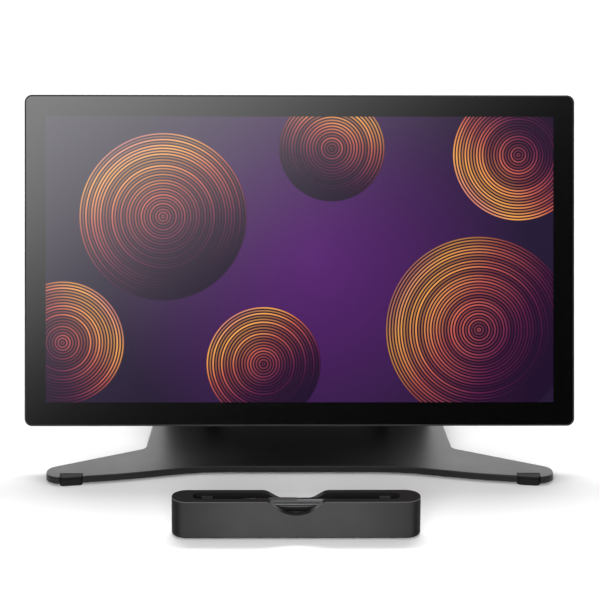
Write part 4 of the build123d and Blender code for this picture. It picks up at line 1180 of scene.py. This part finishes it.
@dataclass
class Studio:
    """Floor, light and camera. The camera looks square at the display."""

    elevation: float = SCREEN_LEAN
    azimuth: float = -1.0
    distance: float = 2.8
    lens: float = 179.3
    sight: float = 50.0
    aim_drop: float = 37.0 * MM
    aim_shift: float = 0.15 * MM
    floor_half: float = 6.0
    floor_roughness: float = 0.9
    floor_tone: Colour = (0.40, 0.40, 0.40)
    floor_seen: Colour = (1.06, 1.06, 1.06)
    floor_far: Pair = (1.0, 2.2)
    sky_over: float = 0.62
    sky_low: float = 0.12
    sky_reach: Pair = (0.1, 0.9)
    room_behind: float = 2.3
    room_front: float = 0.01
    room_reach: Pair = (0.10, 0.60)
    room_over: float = 1.4
    room_over_reach: Pair = (0.75, 0.92)
    glare: float = 6.6
    glare_turn: float = 124.1
    glare_start: float = -0.0105
    glare_end: float = 0.1075
    glare_reach: Pair = (0.95, 0.985)
    fill_size: Pair = (1.4, 1.0)
    fill_shift: float = -0.25
    fill_rise: float = -0.20
    fill_power: float = 60.0
    top_size: Pair = (2.2, 0.60)
    top_place: tuple[float, float, float] = (0.0, 1.42, 2.64)
    top_power: float = 56.0

    def view(self) -> tuple[Vector, Matrix]:
        """Place and turn of the camera.

        Returns:
            The place, and the rotation with the view along -Z.
        """
        low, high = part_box("cover_glass")
        target = (low + high) / 2.0 - SCREEN_UP * self.aim_drop + ACROSS * self.aim_shift
        side, rise = math.radians(self.azimuth), math.radians(self.elevation)
        back = Matrix.Rotation(side, 3, SCREEN_UP) @ leaning(self.elevation, 1)[1]
        right = SCREEN_UP.cross(back).normalized()
        turn = Matrix((right, back.cross(right), back)).transposed()
        return target + back * self.distance, turn

    def add_camera(self) -> None:
        """The camera, at the photograph's angle."""
        place, turn = self.view()
        camera = add_object("camera", bpy.data.cameras.new("camera"))
        camera.data.lens = self.lens
        camera.data.clip_end = self.sight
        camera.matrix_world = Matrix.Translation(place) @ turn.to_4x4()
        bpy.context.scene.camera = camera

    def add_lamp(self, name: str, place: Vector, turn: Matrix, size: Pair, power: float) -> None:
        """A rectangular lamp that the gloss doesn't mirror.

        Args:
            name: Name of the lamp.
            place: Where it hangs.
            turn: Its rotation; it shines along -Z.
            size: Its width and height.
            power: Its power in watts.
        """
        lamp = bpy.data.lights.new(name, "AREA")
        lamp.shape = "RECTANGLE"
        lamp.size, lamp.size_y = size
        lamp.energy = power
        holder = add_object(name, lamp)
        holder.matrix_world = Matrix.Translation(place) @ turn.to_4x4()
        holder.visible_glossy = False

    def add_lamps(self) -> None:
        """A fill over the camera's left shoulder and a broad lamp above and behind the set."""
        place, turn = self.view()
        right, over = turn.col[0], turn.col[1]
        fill_place = place + right * self.fill_shift + over * self.fill_rise
        self.add_lamp("fill", fill_place, turn, self.fill_size, self.fill_power)
        top = Vector(self.top_place)
        top_turn = top.to_track_quat("Z", "Y").to_matrix()
        self.add_lamp("top_lamp", top, top_turn, self.top_size, self.top_power)

    def add_floor(self) -> None:
        """A pale floor that runs out to white and keeps the set's shadow."""
        half = self.floor_half
        corners = [(-half, -half, 0.0), (half, -half, 0.0), (half, half, 0.0), (-half, half, 0.0)]
        mesh = bpy.data.meshes.new("floor")
        mesh.from_pydata(corners, [], [(0, 1, 2, 3)])
        floor = add_object("floor", mesh)
        material, graph, shader = new_material("studio floor")
        shader.inputs["Roughness"].default_value = self.floor_roughness
        shader.inputs["Specular IOR Level"].default_value = 0.0
        rays = graph.add("ShaderNodeLightPath").outputs
        bent = graph.maths("MAXIMUM", rays["Is Glossy Ray"], rays["Is Transmission Ray"])
        seen = graph.maths("MAXIMUM", rays["Is Camera Ray"], bent)
        near = graph.blend(seen, self.floor_tone, self.floor_seen)
        place = graph.add("ShaderNodeTexCoord").outputs["Object"]
        far = graph.stretch(graph.vector_maths("LENGTH", place), *self.floor_far)
        white = graph.maths("MULTIPLY", far, rays["Is Camera Ray"])
        graph.join(graph.blend(white, near, BLACK), shader.inputs["Base Color"])
        shader.inputs["Emission Color"].default_value = (*WHITE, 1.0)
        graph.join(white, shader.inputs["Emission Strength"])
        mesh.materials.append(material)

    def add_world(self) -> None:
        """Light from above and behind, white for the camera.

        The gloss sees a dark room instead, with a soft glare.
        """
        world = bpy.data.worlds.new("studio")
        world.use_nodes = True
        bpy.context.scene.world = world
        graph = Graph(world.node_tree)
        shade = world.node_tree.nodes["Background"]
        direction = graph.add("ShaderNodeTexCoord").outputs["Generated"]
        depth, rise = graph.split(direction)[1:]
        sky = graph.stretch(rise, *self.sky_reach, self.sky_low, self.sky_over)
        room = graph.stretch(depth, *self.room_reach, self.room_front, self.room_behind)
        over = graph.stretch(rise, *self.room_over_reach, 0.0, self.room_over)
        turn = self.view()[1]
        tilt = math.radians(self.glare_turn)
        slope = turn.col[0] * math.cos(tilt) + turn.col[1] * math.sin(tilt)
        along = graph.vector_maths("DOT_PRODUCT", direction, slope)
        facing = graph.vector_maths("DOT_PRODUCT", direction, turn.col[2])
        rising = graph.add(
            "ShaderNodeMapRange",
            {"Value": along, "From Min": self.glare_start, "From Max": self.glare_end},
            interpolation_type="SMOOTHSTEP",
        ).outputs[0]
        near = graph.stretch(facing, *self.glare_reach)
        glare = graph.maths("MULTIPLY", graph.maths("MULTIPLY", rising, near), self.glare)
        gloss = graph.maths("ADD", graph.maths("ADD", room, over), glare)
        rays = graph.add("ShaderNodeLightPath").outputs
        change = graph.maths("SUBTRACT", gloss, sky)
        lit = graph.maths("MULTIPLY_ADD", rays["Is Glossy Ray"], change, sky)
        white = graph.maths("MAXIMUM", rays["Is Camera Ray"], rays["Is Transmission Ray"])
        level = graph.maths("MULTIPLY_ADD", white, graph.maths("SUBTRACT", 1.0, lit), lit)
        graph.join(level, shade.inputs["Strength"])
        shade.inputs["Color"].default_value = (*WHITE, 1.0)

    def build(self) -> None:
        """Sets up the whole studio."""
        bpy.context.scene.view_settings.view_transform = "Standard"
        self.add_camera()
        self.add_floor()
        self.add_world()
        self.add_lamps()
        log.info("studio: floor, sky, two lamps and the camera")


def main() -> None:
    """Builds the set piece by piece, then the studio round it."""
    logging.basicConfig(level=logging.INFO, format="%(name)s %(message)s")
    for part in (Display(), TiltHead(), Arm(), StandBase(), PenTray(), Studio()):
        part.build()


if __name__ == "__main__":
    main()
